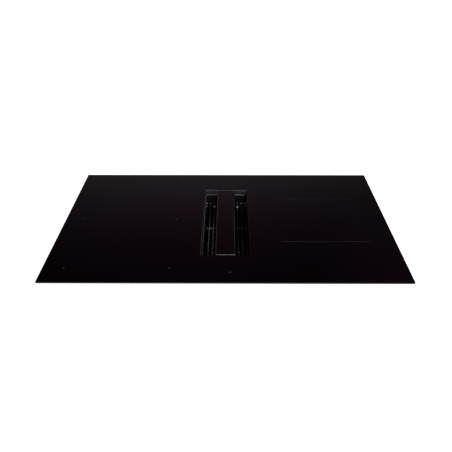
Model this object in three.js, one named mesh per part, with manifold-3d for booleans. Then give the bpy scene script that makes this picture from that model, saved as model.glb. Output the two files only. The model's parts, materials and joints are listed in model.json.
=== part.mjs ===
// Downdraft induction cooktop: a glass hob with an air slot along its middle, a lift-off
// flap and grease filter in the slot, two induction bays, and a blower under the right bay.
// Millimetres. +X is right, -Y is the user's side, +Z is up, z = 0 is the floor of the feet.

import * as THREE from 'three';
import { mergeVertices } from 'three/addons/utils/BufferGeometryUtils.js';
import Module from 'manifold-3d';

const wasm = await Module();
wasm.setup();

// ---- driving dimensions --------------------------------------------------------------

// Clearances
const GAP = 0.3;                  // between pieces that are assembled or run next to each other
const LIFT_GAP = 1;               // each side of a piece that is lifted out by hand

// Glass
const GLASS_WIDTH = 830;
const GLASS_DEPTH = 520;
const GLASS_THICK = 4;
const GLASS_CORNER = 2.5;
const GLASS_ARRIS = 0.5;
const SEAL_THICK = 3;
const SEAL_WIDTH = 9;
const SEAL_INSET = 5;

// Air slot, flap and filter
const SLOT_WIDTH = 117;
const SLOT_LENGTH = 321;
const SLOT_Y = 2;
const SLOT_CORNER = 2;
const FLAP_WIDTH = 47;
const FLAP_END_GAP = 3;
const FLAP_RIM = 1.8;
const FLAP_CORNER = 3;
const FLAP_BASE = 1.5;
const FLAP_LEDGE = 5;
const FLAP_FOOT_INSET = 47.5;
const FLAP_FOOT_WIDTH = 26;
const FLAP_FOOT_LENGTH = 12;
const FILTER_RIM_DROP = 12;
const FILTER_HEIGHT = 50;
const FILTER_WALL = 1.2;
const FILTER_RIM = 2;
const RIB_DROP = 26;
const RIB_PITCH = 10.8;
const RIB_PAIRS = 5;
const RIB_WIDTH = 2;
const RIB_HEIGHT = 6;
const CROSSBAR_WIDTH = 5;
const CROSSBAR_RISE = 0.5;           // above the ribs' tops
const END_STRIP_THICK = 2;
const END_STRIP_INSET = 3;
const MESH_THICK = 8;
const MESH_COLUMNS = 4;
const MESH_ROWS = 12;
const MESH_BAR = 4;
const MESH_ROW_INSET = 1.5;
const WELL_WALL = 2.5;
const WELL_LEDGE = 4;
const WELL_LEDGE_THICK = 3;
const WELL_FLANGE = 8;
const WELL_FLANGE_THICK = 2;

// Air box under the well
const FOOT_HEIGHT = 6;
const FOOT_LENGTH = 44;
const FOOT_WIDTH = 11;
const PLENUM_WALL = 2;
const PLENUM_ROOM = 40;
const PLENUM_MARGIN = 12;
const DECK_THICK = 2;
const BASIN_SIDE_INSET = 10.5;
const BASIN_END_INSET = 16.5;
const BASIN_HEIGHT = 30;
const BASIN_WALL = 2;
const BASIN_FLANGE = 12;
const BASIN_SEAL_THICK = 2;
const BASIN_SEAL_WIDTH = 6;

// Blower
const BLOWER_Y = -10;
const BLOWER_GAP = 14;
const SCROLL_WALL = 2;
const SCROLL_R_MIN = 98;
const SCROLL_R_MAX = 132;
const TONGUE_ANGLE = THREE.MathUtils.degToRad(70);
const THROAT_LENGTH = 128;
const INLET_R = 66;
const INLET_LIP = 2;
const INLET_LIP_HEIGHT = 7;
const INLET_FLANGE = 14;
const IMPELLER_R = 90;
const IMPELLER_EYE_R = 72;
const IMPELLER_HEIGHT = 68;
const IMPELLER_LIFT = 6;
const IMPELLER_PLATE = 2.5;
const BLADE_COUNT = 30;
const BLADE_THICK = 1.6;
const BLADE_ANGLE = THREE.MathUtils.degToRad(38);
const MOTOR_R = 44;
const MOTOR_HEIGHT = 46;
const MOTOR_FLANGE = 7;
const MOTOR_FLANGE_THICK = 3;
const BOWL_GAP = 3;
const SHAFT_R = 4;
const HUB_R = 12;
const HUB_LENGTH = 14;

// Outlet duct
const DUCT_WIDTH = 222;
const DUCT_HEIGHT = 89;
const DUCT_WALL = 2;
const DUCT_COLLAR = 40;
const DUCT_REAR_INSET = 22;
const DUCT_SHIFT = 40;
const DAMPER_THICK = 1.6;
const DAMPER_SETBACK = 28;
const DAMPER_SIDE_GAP = 2;
const DAMPER_PIN_R = 1.5;
const DAMPER_KNUCKLE_R = 3.6;
const DAMPER_STOP = 4;

// Induction bays
const TRAY_DEPTH = 60;
const TRAY_GAP = 7;
const TRAY_SHEET = 1;
const TRAY_SIDE_INSET = 43;
const TRAY_END_INSET = 22;
const VENT_COUNT = 7;
const VENT_WIDTH = 5;
const VENT_PITCH = 11;
const ZONE_SIDE_INSET = 168;
const ZONE_Y = 6;
const ZONE_PITCH = 210.5;
const COIL_WIDTH = 220;
const COIL_SPACE = 14.5;
const COIL_THICK = 6;
const COIL_CORNER = 48;
const COIL_EYE_R = 23;
const MICA_THICK = 1;
const MICA_MARGIN = 4;
const COIL_PLATE_THICK = 1.5;
const COIL_PLATE_MARGIN = 8;
const LEG_SIZE = 12;
const SENSOR_R = 8;
const FAN_SIZE = 92;
const FAN_HEIGHT = 25;
const FAN_INSET = 7;
const FAN_Y = -60;
const FAN_BORE_R = 43;
const FAN_HUB_R = 19;
const FAN_BASE_THICK = 3;
const FAN_PIN_R = 2;
const FAN_TIP_GAP = 1.5;
const FAN_BLADE_COUNT = 7;
const FAN_BLADE_THICK = 2;
const BOARD_THICK = 1.6;
const BOARD_POST = 6;
const BOARD_POST_SIZE = 8;
const POWER_BOARD_SPACE = 5;
const POWER_BOARD_LENGTH = 330;
const SINK_WIDTH = 66;
const SINK_LENGTH = 190;
const SINK_HEIGHT = 30;
const SINK_BASE = 5;
const SINK_FIN = 2;
const SINK_FINS = 9;

// Touch control
const TOUCH_HEIGHT = 16;
const TOUCH_WALL = 1.5;
const TOUCH_BOARD_MARGIN = 5;
const LIGHT_GUIDE_THICK = 1.4;
const LIGHT_WINDOWS = 5;
const LIGHT_WINDOW_SIZE = 8;

// Electrical boxes under the left bay
const BOX_WALL = 2;
const BOX_HEIGHT = 38;
const DRIVER_BOX_WIDTH = 120;
const DRIVER_BOX_LENGTH = 160;
const DRIVER_BOX_SETBACK = 20;
const DRIVER_BOX_Y = 80;
const TERMINAL_BOX_WIDTH = 100;
const TERMINAL_BOX_LENGTH = 84;
const TERMINAL_BOX_SIDE_INSET = 42;
const TERMINAL_BOX_REAR_INSET = 31;
const TERMINAL_BLOCK_WIDTH = 60;
const TERMINAL_BLOCK_LENGTH = 26;
const TERMINAL_BLOCK_HEIGHT = 20;
const GLAND_R = 8;
const GLAND_BORE_R = 5;
const GLAND_FLANGE_R = 13;
const GLAND_LENGTH = 16;
const GLAND_FLANGE_THICK = 6;

// Clamps
const WORKTOP_MAX = 40;
const CLAMP_SPREAD = 300;
const CLAMP_OFFSET = 9;
const CLAMP_LENGTH = 46;
const CLAMP_WIDTH = 12;
const CLAMP_THICK = 3;
const SCREW_R = 2.5;
const SCREW_HEAD_R = 5;
const SCREW_HEAD_THICK = 4;
const EAR_THICK = 3;
const EAR_DROP = 13;
const EAR_WIDTH = 18;

// ---- levels and edges worked out from them -------------------------------------------

const Z_FLOOR = FOOT_HEIGHT;
const Z_FLOOR_TOP = Z_FLOOR + PLENUM_WALL;
const Z_DECK = Z_FLOOR_TOP + PLENUM_ROOM;
const Z_DECK_TOP = Z_DECK + DECK_THICK;
const Z_DUCT_TOP = Z_DECK_TOP + DUCT_HEIGHT;
const Z_TRAY = Z_DUCT_TOP + TRAY_GAP;
const Z_TRAY_TOP = Z_TRAY + TRAY_SHEET;
const Z_GLASS = Z_TRAY + TRAY_DEPTH;
const Z_TOP = Z_GLASS + GLASS_THICK;
const Z_RIM = Z_GLASS - SEAL_THICK;
const Z_FILTER_RIM = Z_TOP - FILTER_RIM_DROP;
const Z_FILTER = Z_FILTER_RIM - FILTER_HEIGHT;
const Z_RIBS = Z_TOP - RIB_DROP;
const Z_FLAP = Z_GLASS - FLAP_BASE;
const Z_MICA = Z_GLASS - MICA_THICK;
const Z_COIL = Z_MICA - COIL_THICK;
const Z_COIL_PLATE = Z_COIL - COIL_PLATE_THICK;
const Z_BOX = Z_TRAY - BOX_HEIGHT;

const SLOT = { x: SLOT_WIDTH / 2, y0: SLOT_Y - SLOT_LENGTH / 2, y1: SLOT_Y + SLOT_LENGTH / 2 };
const WELL = { x: SLOT.x + WELL_WALL, y0: SLOT.y0 - WELL_WALL, y1: SLOT.y1 + WELL_WALL };
const FLAP = { x: FLAP_WIDTH / 2, y0: SLOT.y0 + FLAP_END_GAP, y1: SLOT.y1 - FLAP_END_GAP };
const FLAP_FOOT_Y = [FLAP.y0 + FLAP_FOOT_INSET, FLAP.y1 - FLAP_FOOT_INSET];
const FILTER = { x: SLOT.x - LIFT_GAP, y0: SLOT.y0 + LIFT_GAP, y1: SLOT.y1 - LIFT_GAP };
const BAY_X0 = WELL.x + GAP;
const BAY_X1 = GLASS_WIDTH / 2 - TRAY_SIDE_INSET;
const BAY_Y = GLASS_DEPTH / 2 - TRAY_END_INSET;
const ZONE_X = GLASS_WIDTH / 2 - ZONE_SIDE_INSET;
const COIL_LENGTH = ZONE_PITCH - COIL_SPACE;

const scrollRadius = (angle) => THREE.MathUtils.mapLinear(
  angle, TONGUE_ANGLE, 2 * Math.PI, SCROLL_R_MIN, SCROLL_R_MAX);
const BLOWER_X = WELL.x + BLOWER_GAP + scrollRadius(Math.PI) + SCROLL_WALL;
const THROAT = {
  x0: BLOWER_X + SCROLL_R_MIN * Math.cos(TONGUE_ANGLE),
  x1: BLOWER_X + SCROLL_R_MAX,
  y: BLOWER_Y + THROAT_LENGTH,
};
const DUCT_X = BLOWER_X + DUCT_SHIFT;
const DUCT_END = GLASS_DEPTH / 2 - DUCT_REAR_INSET;
const DUCT_INNER_X = DUCT_WIDTH / 2 - DUCT_WALL;
const PLENUM = {
  x0: -WELL.x - PLENUM_MARGIN,
  x1: THROAT.x1 + SCROLL_WALL + PLENUM_MARGIN,
  y0: WELL.y0 - PLENUM_MARGIN,
  y1: WELL.y1 + PLENUM_MARGIN,
};

// ---- materials -----------------------------------------------------------------------

const finish = (color, roughness, metalness) =>
  new THREE.MeshStandardMaterial({ color, roughness, metalness });

const blackGlass = () => finish(0x0b070a, 0.06, 0);
const anodised = () => finish(0x9a9a9c, 0.35, 1);
const steel = () => finish(0xb4b6b8, 0.4, 1);
const zinc = () => finish(0xa3a8ab, 0.45, 1);
const darkSteel = () => finish(0x3c3d40, 0.45, 1);
const blackPlastic = () => finish(0x151517, 0.55, 0);
const greyPlastic = () => finish(0x6b6d70, 0.6, 0);
const rubber = () => finish(0x1c1c1d, 0.9, 0);
const copper = () => finish(0xa5673f, 0.5, 0.8);
const mica = () => finish(0xcfc8b6, 0.7, 0);
const boardGreen = () => finish(0x1f5c34, 0.6, 0);

// ---- shape helpers -------------------------------------------------------------------

// Coordinates are kept to a thousandth, so that faces that meet have the same value.
const snap = (value) => Math.round(value * 1000) / 1000;

// A box between two corners.
function block(x0, x1, y0, y1, z0, z1) {
  const geometry = new THREE.BoxGeometry(1, 1, 1);
  const place = geometry.attributes.position;
  for (let i = 0; i < place.count; i += 1) {
    place.setXYZ(
      i,
      snap(place.getX(i) < 0 ? x0 : x1),
      snap(place.getY(i) < 0 ? y0 : y1),
      snap(place.getZ(i) < 0 ? z0 : z1),
    );
  }
  return geometry;
}

// A flat shape made into a plate between two levels.
function plate(shape, z0, z1, curveSegments = 6) {
  const geometry = new THREE.ExtrudeGeometry(shape, {
    depth: 1, bevelEnabled: false, steps: 1, curveSegments,
  });
  const place = geometry.attributes.position;
  for (let i = 0; i < place.count; i += 1) {
    place.setXYZ(i, snap(place.getX(i)), snap(place.getY(i)), snap(place.getZ(i) < 0.5 ? z0 : z1));
  }
  return geometry;
}

// A rectangle with round corners, drawn counter-clockwise, as a Shape or a hole's Path.
function rectangle(x0, x1, y0, y1, radius = 0, Kind = THREE.Shape) {
  const outline = new Kind();
  if (radius === 0) {
    outline.moveTo(x0, y0);
    outline.lineTo(x1, y0);
    outline.lineTo(x1, y1);
    outline.lineTo(x0, y1);
    outline.closePath();
    return outline;
  }
  const quarter = Math.PI / 2;
  outline.moveTo(x0 + radius, y0);
  outline.absarc(x1 - radius, y0 + radius, radius, -quarter, 0);
  outline.absarc(x1 - radius, y1 - radius, radius, 0, quarter);
  outline.absarc(x0 + radius, y1 - radius, radius, quarter, 2 * quarter);
  outline.absarc(x0 + radius, y0 + radius, radius, 2 * quarter, 3 * quarter);
  outline.closePath();
  return outline;
}

const hole = (x0, x1, y0, y1, radius = 0) => rectangle(x0, x1, y0, y1, radius, THREE.Path);

function roundHole(x, y, radius) {
  const outline = new THREE.Path();
  outline.absarc(x, y, radius, 0, 2 * Math.PI);
  return outline;
}

function withHoles(shape, holes) {
  shape.holes.push(...holes);
  return shape;
}

// An upright cylinder between two levels.
function post(x, y, radius, z0, z1, sides = 24) {
  const geometry = new THREE.CylinderGeometry(radius, radius, 1, sides);
  geometry.rotateX(Math.PI / 2);
  const place = geometry.attributes.position;
  for (let i = 0; i < place.count; i += 1) {
    place.setXYZ(
      i, snap(place.getX(i) + x), snap(place.getY(i) + y), snap(place.getZ(i) < 0 ? z0 : z1));
  }
  return geometry;
}

// A profile of [radius, z] points turned about the Z axis.
function turned(points, sides) {
  const profile = points.map(([radius, z]) => new THREE.Vector2(radius, z));
  const geometry = new THREE.LatheGeometry(profile, sides);
  geometry.rotateX(Math.PI / 2);
  return geometry;
}

function toSolid(geometry) {
  const bare = geometry.clone();
  bare.deleteAttribute('normal');
  bare.deleteAttribute('uv');
  const merged = mergeVertices(bare, 1e-4);
  return new wasm.Manifold(new wasm.Mesh({
    numProp: 3,
    vertProperties: merged.attributes.position.array,
    triVerts: new Uint32Array(merged.index.array),
  }));
}

function toGeometry(solid) {
  const mesh = solid.getMesh();
  const geometry = new THREE.BufferGeometry();
  geometry.setAttribute('position', new THREE.BufferAttribute(mesh.vertProperties, 3));
  geometry.setIndex(new THREE.BufferAttribute(mesh.triVerts, 1));
  const flat = geometry.toNonIndexed();
  flat.computeVertexNormals();
  return flat;
}

function join(parts, cuts = []) {
  let solid = toSolid(parts[0]);
  for (const part of parts.slice(1)) {
    solid = solid.add(toSolid(part));
  }
  for (const cut of cuts) {
    solid = solid.subtract(toSolid(cut));
  }
  return toGeometry(solid);
}

const cooktop = new THREE.Group();
cooktop.name = 'downdraft_induction_cooktop';

function piece(name, geometry, material, parent = cooktop) {
  const mesh = new THREE.Mesh(geometry, material);
  mesh.name = name;
  parent.add(mesh);
  return mesh;
}

const SIDES = [['left', -1], ['right', 1]];
const ENDS = [['front', -1], ['rear', 1]];

// A box given for the right side, or its mirror image on the left.
const sideBlock = (side, x0, x1, y0, y1, z0, z1) => (side > 0
  ? block(x0, x1, y0, y1, z0, z1)
  : block(-x1, -x0, y0, y1, z0, z1));

const sideRectangle = (side, x0, x1, y0, y1, radius = 0) => (side > 0
  ? rectangle(x0, x1, y0, y1, radius)
  : rectangle(-x1, -x0, y0, y1, radius));

// ---- glass and its seal --------------------------------------------------------------

// A glass sheet with ground edges: the outline drawn in at both faces, full in between.
function groundSheet(halfX, y0, y1, corner, slot) {
  const shape = rectangle(-halfX, halfX, y0, y1, corner);
  if (slot) {
    shape.holes.push(hole(-slot.x, slot.x, slot.y0, slot.y1, SLOT_CORNER));
  }
  const sheet = new THREE.ExtrudeGeometry(shape, {
    depth: GLASS_THICK - 2 * GLASS_ARRIS,
    steps: 1,
    curveSegments: 4,
    bevelThickness: GLASS_ARRIS,
    bevelSize: GLASS_ARRIS,
    bevelOffset: -GLASS_ARRIS,
    bevelSegments: 1,
  });
  const place = sheet.attributes.position;
  const levels = [Z_GLASS, Z_GLASS + GLASS_ARRIS, Z_TOP - GLASS_ARRIS, Z_TOP];
  for (let i = 0; i < place.count; i += 1) {
    const height = place.getZ(i) + GLASS_ARRIS + Z_GLASS;
    const level = levels.reduce((best, z) => (Math.abs(z - height) < Math.abs(best - height) ? z : best));
    place.setXYZ(i, snap(place.getX(i)), snap(place.getY(i)), snap(level));
  }
  return sheet;
}

function makeGlass() {
  const half = GLASS_WIDTH / 2;
  piece(
    'glass_top',
    groundSheet(half, -GLASS_DEPTH / 2, GLASS_DEPTH / 2, GLASS_CORNER, SLOT),
    blackGlass(),
  );
  const x = half - SEAL_INSET;
  const y = GLASS_DEPTH / 2 - SEAL_INSET;
  const seal = withHoles(rectangle(-x, x, -y, y), [
    hole(-x + SEAL_WIDTH, x - SEAL_WIDTH, -y + SEAL_WIDTH, y - SEAL_WIDTH),
  ]);
  piece('rim_seal', plate(seal, Z_RIM, Z_GLASS), rubber());
}

// ---- flap ----------------------------------------------------------------------------

function makeFlap() {
  const inner = { x: FLAP.x - FLAP_RIM, y0: FLAP.y0 + FLAP_RIM, y1: FLAP.y1 - FLAP_RIM };
  const glassCorner = Math.max(FLAP_CORNER - FLAP_RIM - GAP, GLASS_ARRIS);
  piece(
    'flap_glass',
    groundSheet(inner.x - GAP, inner.y0 + GAP, inner.y1 - GAP, glassCorner),
    blackGlass(),
  );

  const outline = () => rectangle(-FLAP.x, FLAP.x, FLAP.y0, FLAP.y1, FLAP_CORNER);
  const rim = withHoles(outline(), [hole(-inner.x, inner.x, inner.y0, inner.y1)]);
  const windowX = inner.x - FLAP_LEDGE;
  const barEdges = FLAP_FOOT_Y.flatMap((y) => [y - FLAP_FOOT_LENGTH / 2, y + FLAP_FOOT_LENGTH / 2]);
  const edges = [inner.y0 + FLAP_LEDGE, ...barEdges, inner.y1 - FLAP_LEDGE];
  const windows = [0, 2, 4].map((i) => hole(-windowX, windowX, edges[i], edges[i + 1]));
  piece(
    'flap_frame',
    join([plate(rim, Z_FLAP, Z_TOP), plate(withHoles(outline(), windows), Z_FLAP, Z_GLASS)]),
    anodised(),
  );

  ENDS.forEach(([end], i) => {
    const y = FLAP_FOOT_Y[i];
    const foot = rectangle(
      -FLAP_FOOT_WIDTH / 2, FLAP_FOOT_WIDTH / 2,
      y - FLAP_FOOT_LENGTH / 2, y + FLAP_FOOT_LENGTH / 2, FLAP_CORNER,
    );
    piece(`flap_foot_${end}`, plate(foot, Z_RIBS + GAP, Z_FLAP, 3), blackPlastic());
  });
}

// ---- grease filter -------------------------------------------------------------------

// Plan of the room inside the filter's walls, with a gap all round.
const FILTER_ROOM = {
  x: FILTER.x - FILTER_WALL - GAP,
  y0: FILTER.y0 + FILTER_WALL + GAP,
  y1: FILTER.y1 - FILTER_WALL - GAP,
};

// Upright ribs along the filter, joined by the crossbar and a strip under each end.
function grateBars() {
  const { x: side, y0, y1 } = FILTER_ROOM;
  const foot = Z_RIBS - RIB_HEIGHT;
  const bars = [block(
    -side, side, SLOT_Y - CROSSBAR_WIDTH / 2, SLOT_Y + CROSSBAR_WIDTH / 2,
    foot - END_STRIP_THICK, Z_RIBS + CROSSBAR_RISE)];
  for (const y of [y0 + END_STRIP_INSET, y1 - END_STRIP_INSET - CROSSBAR_WIDTH]) {
    bars.push(block(
      -side, side, y, y + CROSSBAR_WIDTH,
      foot - END_STRIP_THICK / 2, foot + END_STRIP_THICK / 2));
  }
  for (let i = -RIB_PAIRS; i <= RIB_PAIRS; i += 1) {
    const x = i * RIB_PITCH;
    bars.push(block(x - RIB_WIDTH / 2, x + RIB_WIDTH / 2, y0, y1, foot, Z_RIBS));
  }
  return bars;
}

// A flat pack of crossing bars that stands on a level. Its cross rows are the thinner ones.
function meshPack({ x, y0, y1 }, floor) {
  const bars = [];
  for (let i = 0; i <= MESH_COLUMNS; i += 1) {
    const left = THREE.MathUtils.lerp(-x, x - MESH_BAR, i / MESH_COLUMNS);
    bars.push(block(left, left + MESH_BAR, y0, y1, floor, floor + MESH_THICK));
  }
  for (let i = 0; i <= MESH_ROWS; i += 1) {
    const y = THREE.MathUtils.lerp(y0, y1 - MESH_BAR, i / MESH_ROWS);
    bars.push(block(
      -x + MESH_BAR / 2, x - MESH_BAR / 2, y, y + MESH_BAR,
      floor + MESH_ROW_INSET, floor + MESH_THICK - MESH_ROW_INSET));
  }
  return join(bars);
}

function makeFilter() {
  const outline = () => rectangle(-FILTER.x, FILTER.x, FILTER.y0, FILTER.y1);
  const room = (inset) => hole(
    -FILTER.x + inset, FILTER.x - inset, FILTER.y0 + inset, FILTER.y1 - inset);
  piece(
    'filter_frame',
    join([
      plate(withHoles(outline(), [room(FILTER_WALL)]), Z_FILTER, Z_FILTER_RIM),
      plate(withHoles(outline(), [room(FILTER_RIM)]), Z_FILTER_RIM - FILTER_RIM, Z_FILTER_RIM),
    ]),
    steel(),
  );
  piece('filter_grate', join(grateBars()), steel());
  piece('filter_mesh', meshPack(FILTER_ROOM, Z_FILTER), darkSteel());
}

// ---- air well ------------------------------------------------------------------------

function makeWell() {
  const tube = withHoles(rectangle(-WELL.x, WELL.x, WELL.y0, WELL.y1), [
    hole(-SLOT.x, SLOT.x, SLOT.y0, SLOT.y1),
  ]);
  const ledge = withHoles(rectangle(-WELL.x, WELL.x, WELL.y0, WELL.y1), [
    hole(-SLOT.x + WELL_LEDGE, SLOT.x - WELL_LEDGE, SLOT.y0 + WELL_LEDGE, SLOT.y1 - WELL_LEDGE),
  ]);
  const flange = withHoles(
    rectangle(-WELL.x - WELL_FLANGE, WELL.x + WELL_FLANGE,
      WELL.y0 - WELL_FLANGE, WELL.y1 + WELL_FLANGE),
    [hole(-SLOT.x, SLOT.x, SLOT.y0, SLOT.y1)],
  );
  const ledgeTop = Z_FILTER - GAP;
  piece(
    'air_well',
    join([
      plate(tube, Z_DECK_TOP, Z_GLASS),
      plate(ledge, ledgeTop - WELL_LEDGE_THICK, ledgeTop),
      plate(flange, Z_DECK_TOP, Z_DECK_TOP + WELL_FLANGE_THICK),
    ]),
    blackPlastic(),
  );
}

// ---- air box, deck and drip basin ----------------------------------------------------

const BASIN = {
  x: SLOT.x - BASIN_SIDE_INSET,
  y0: SLOT.y0 + BASIN_END_INSET,
  y1: SLOT.y1 - BASIN_END_INSET,
};

function makePlenum() {
  const { x0, x1, y0, y1 } = PLENUM;
  const mouth = LIFT_GAP;
  const basinHole = () => hole(
    -BASIN.x - mouth, BASIN.x + mouth, BASIN.y0 - mouth, BASIN.y1 + mouth);
  const floor = withHoles(rectangle(x0, x1, y0, y1), [basinHole()]);
  const walls = withHoles(rectangle(x0, x1, y0, y1), [
    hole(x0 + PLENUM_WALL, x1 - PLENUM_WALL, y0 + PLENUM_WALL, y1 - PLENUM_WALL),
  ]);
  const feet = [];
  for (const fx of [x0, x1 - FOOT_LENGTH]) {
    for (const fy of [y0, y1 - FOOT_WIDTH]) {
      feet.push(block(fx, fx + FOOT_LENGTH, fy, fy + FOOT_WIDTH, 0, Z_FLOOR_TOP));
    }
  }
  piece(
    'plenum_shell',
    join([plate(floor, Z_FLOOR, Z_FLOOR_TOP), plate(walls, Z_FLOOR, Z_DECK), ...feet]),
    zinc(),
  );

  const deck = withHoles(rectangle(x0, x1, y0, y1), [
    hole(-SLOT.x, SLOT.x, SLOT.y0, SLOT.y1),
    roundHole(BLOWER_X, BLOWER_Y, INLET_R),
  ]);
  piece('blower_deck', plate(deck, Z_DECK, Z_DECK_TOP, 24), zinc());
}

function makeBasin() {
  const sealZ = Z_FLOOR - BASIN_SEAL_THICK;
  const baseZ = sealZ - BASIN_WALL;
  const wide = BASIN_FLANGE;
  const flange = rectangle(-BASIN.x - wide, BASIN.x + wide, BASIN.y0 - wide, BASIN.y1 + wide, wide);
  const walls = withHoles(rectangle(-BASIN.x, BASIN.x, BASIN.y0, BASIN.y1), [hole(
    -BASIN.x + BASIN_WALL, BASIN.x - BASIN_WALL, BASIN.y0 + BASIN_WALL, BASIN.y1 - BASIN_WALL)]);
  piece(
    'drip_basin',
    join([plate(flange, baseZ, sealZ), plate(walls, baseZ, baseZ + BASIN_HEIGHT)]),
    greyPlastic(),
  );

  const out = BASIN_SEAL_WIDTH + LIFT_GAP;
  const seal = withHoles(
    rectangle(-BASIN.x - out, BASIN.x + out, BASIN.y0 - out, BASIN.y1 + out, BASIN_SEAL_WIDTH),
    [hole(-BASIN.x - GAP, BASIN.x + GAP, BASIN.y0 - GAP, BASIN.y1 + GAP)],
  );
  piece('basin_seal', plate(seal, sealZ, Z_FLOOR), rubber());
}

// ---- blower --------------------------------------------------------------------------

// The scroll's plan: a spiral from the tongue round to the right, then straight to the rear.
function scrollOutline(grow, rear) {
  const outline = new THREE.Shape();
  const steps = 40;
  const tongueX = THROAT.x0 - grow;
  outline.moveTo(THROAT.x1 + grow, rear);
  outline.lineTo(tongueX, rear);
  for (let i = 0; i <= steps; i += 1) {
    const angle = THREE.MathUtils.lerp(TONGUE_ANGLE, 2 * Math.PI, i / steps);
    const radius = scrollRadius(angle) + grow;
    const x = BLOWER_X + radius * Math.cos(angle);
    outline.lineTo(i === 0 ? Math.max(x, tongueX) : x, BLOWER_Y + radius * Math.sin(angle));
  }
  outline.closePath();
  return outline;
}

function makeScroll() {
  piece(
    'blower_scroll',
    join(
      [plate(scrollOutline(SCROLL_WALL, THROAT.y), Z_DECK_TOP, Z_DUCT_TOP)],
      [plate(scrollOutline(0, THROAT.y + 1), Z_DECK_TOP - 1, Z_DUCT_TOP - SCROLL_WALL)],
    ),
    blackPlastic(),
  );

  const lip = INLET_R + INLET_LIP;
  const ring = turned([
    [INLET_R, Z_DECK_TOP],
    [INLET_R + INLET_FLANGE, Z_DECK_TOP],
    [INLET_R + INLET_FLANGE, Z_DECK_TOP + INLET_LIP],
    [lip, Z_DECK_TOP + INLET_LIP],
    [lip, Z_DECK_TOP + INLET_LIP_HEIGHT],
    [INLET_R, Z_DECK_TOP + INLET_LIP_HEIGHT],
    [INLET_R, Z_DECK_TOP],
  ], 40);
  piece('inlet_ring', ring, blackPlastic()).position.set(BLOWER_X, BLOWER_Y, 0);
}

// Levels of the motor and the impeller, down from the scroll's roof.
const MOTOR_TOP = Z_DUCT_TOP - SCROLL_WALL;
const MOTOR_BASE = MOTOR_TOP - MOTOR_FLANGE_THICK - MOTOR_HEIGHT;
const BOWL_FLOOR = MOTOR_BASE - BOWL_GAP;
const IMPELLER_BASE = Z_DECK_TOP + IMPELLER_LIFT;
const IMPELLER_TOP = IMPELLER_BASE + IMPELLER_HEIGHT;

function makeMotor() {
  const flangeR = MOTOR_R + MOTOR_FLANGE;
  const motor = turned([
    [0, BOWL_FLOOR - HUB_LENGTH],
    [SHAFT_R, BOWL_FLOOR - HUB_LENGTH],
    [SHAFT_R, MOTOR_BASE],
    [MOTOR_R, MOTOR_BASE],
    [MOTOR_R, MOTOR_TOP - MOTOR_FLANGE_THICK],
    [flangeR, MOTOR_TOP - MOTOR_FLANGE_THICK],
    [flangeR, MOTOR_TOP],
    [0, MOTOR_TOP],
  ], 32);
  piece('blower_motor', motor, darkSteel()).position.set(BLOWER_X, BLOWER_Y, 0);
}

function makeImpeller() {
  const bowlR = MOTOR_R + BOWL_GAP;
  const bowlOuter = bowlR + IMPELLER_PLATE;
  const bowlUnder = BOWL_FLOOR - IMPELLER_PLATE;
  const back = turned([
    [SHAFT_R + GAP, BOWL_FLOOR - HUB_LENGTH],
    [HUB_R, BOWL_FLOOR - HUB_LENGTH],
    [HUB_R, bowlUnder],
    [bowlOuter, bowlUnder],
    [bowlOuter, IMPELLER_TOP - IMPELLER_PLATE],
    [IMPELLER_R, IMPELLER_TOP - IMPELLER_PLATE],
    [IMPELLER_R, IMPELLER_TOP],
    [bowlR, IMPELLER_TOP],
    [bowlR, BOWL_FLOOR],
    [SHAFT_R + GAP, BOWL_FLOOR],
    [SHAFT_R + GAP, BOWL_FLOOR - HUB_LENGTH],
  ], 40);
  const ring = turned([
    [IMPELLER_EYE_R, IMPELLER_BASE],
    [IMPELLER_R, IMPELLER_BASE],
    [IMPELLER_R, IMPELLER_BASE + IMPELLER_PLATE],
    [IMPELLER_EYE_R, IMPELLER_BASE + IMPELLER_PLATE],
    [IMPELLER_EYE_R, IMPELLER_BASE],
  ], 40);
  const ringWidth = IMPELLER_R - IMPELLER_EYE_R;
  const chord = 0.8 * ringWidth;
  const blades = [];
  for (let i = 0; i < BLADE_COUNT; i += 1) {
    const blade = block(
      -chord / 2, chord / 2, -BLADE_THICK / 2, BLADE_THICK / 2,
      IMPELLER_BASE + IMPELLER_PLATE / 2, IMPELLER_TOP - IMPELLER_PLATE / 2,
    );
    blade.rotateZ(BLADE_ANGLE);
    blade.translate(IMPELLER_EYE_R + ringWidth / 2, 0, 0);
    blade.rotateZ(i / BLADE_COUNT * 2 * Math.PI);
    blades.push(blade);
  }
  const impeller = join([back, ring, ...blades]);
  piece('blower_impeller', impeller, greyPlastic()).position.set(BLOWER_X, BLOWER_Y, 0);
}

// ---- outlet duct and its damper ------------------------------------------------------

const DAMPER_Y = DUCT_END - DAMPER_SETBACK;
const DAMPER_PIN_Z = Z_DUCT_TOP - DUCT_WALL - DAMPER_KNUCKLE_R - 1;

function spigotOutline(grow, front, rear) {
  const collarY = DUCT_END - DUCT_COLLAR;
  const outline = new THREE.Shape();
  outline.moveTo(THROAT.x0 - grow, front);
  outline.lineTo(THROAT.x1 + grow, front);
  outline.lineTo(THROAT.x1 + grow, THROAT.y);
  outline.lineTo(DUCT_X + DUCT_INNER_X + grow, collarY);
  outline.lineTo(DUCT_X + DUCT_INNER_X + grow, rear);
  outline.lineTo(DUCT_X - DUCT_INNER_X - grow, rear);
  outline.lineTo(DUCT_X - DUCT_INNER_X - grow, collarY);
  outline.lineTo(THROAT.x0 - grow, THROAT.y);
  outline.closePath();
  return outline;
}

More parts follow.
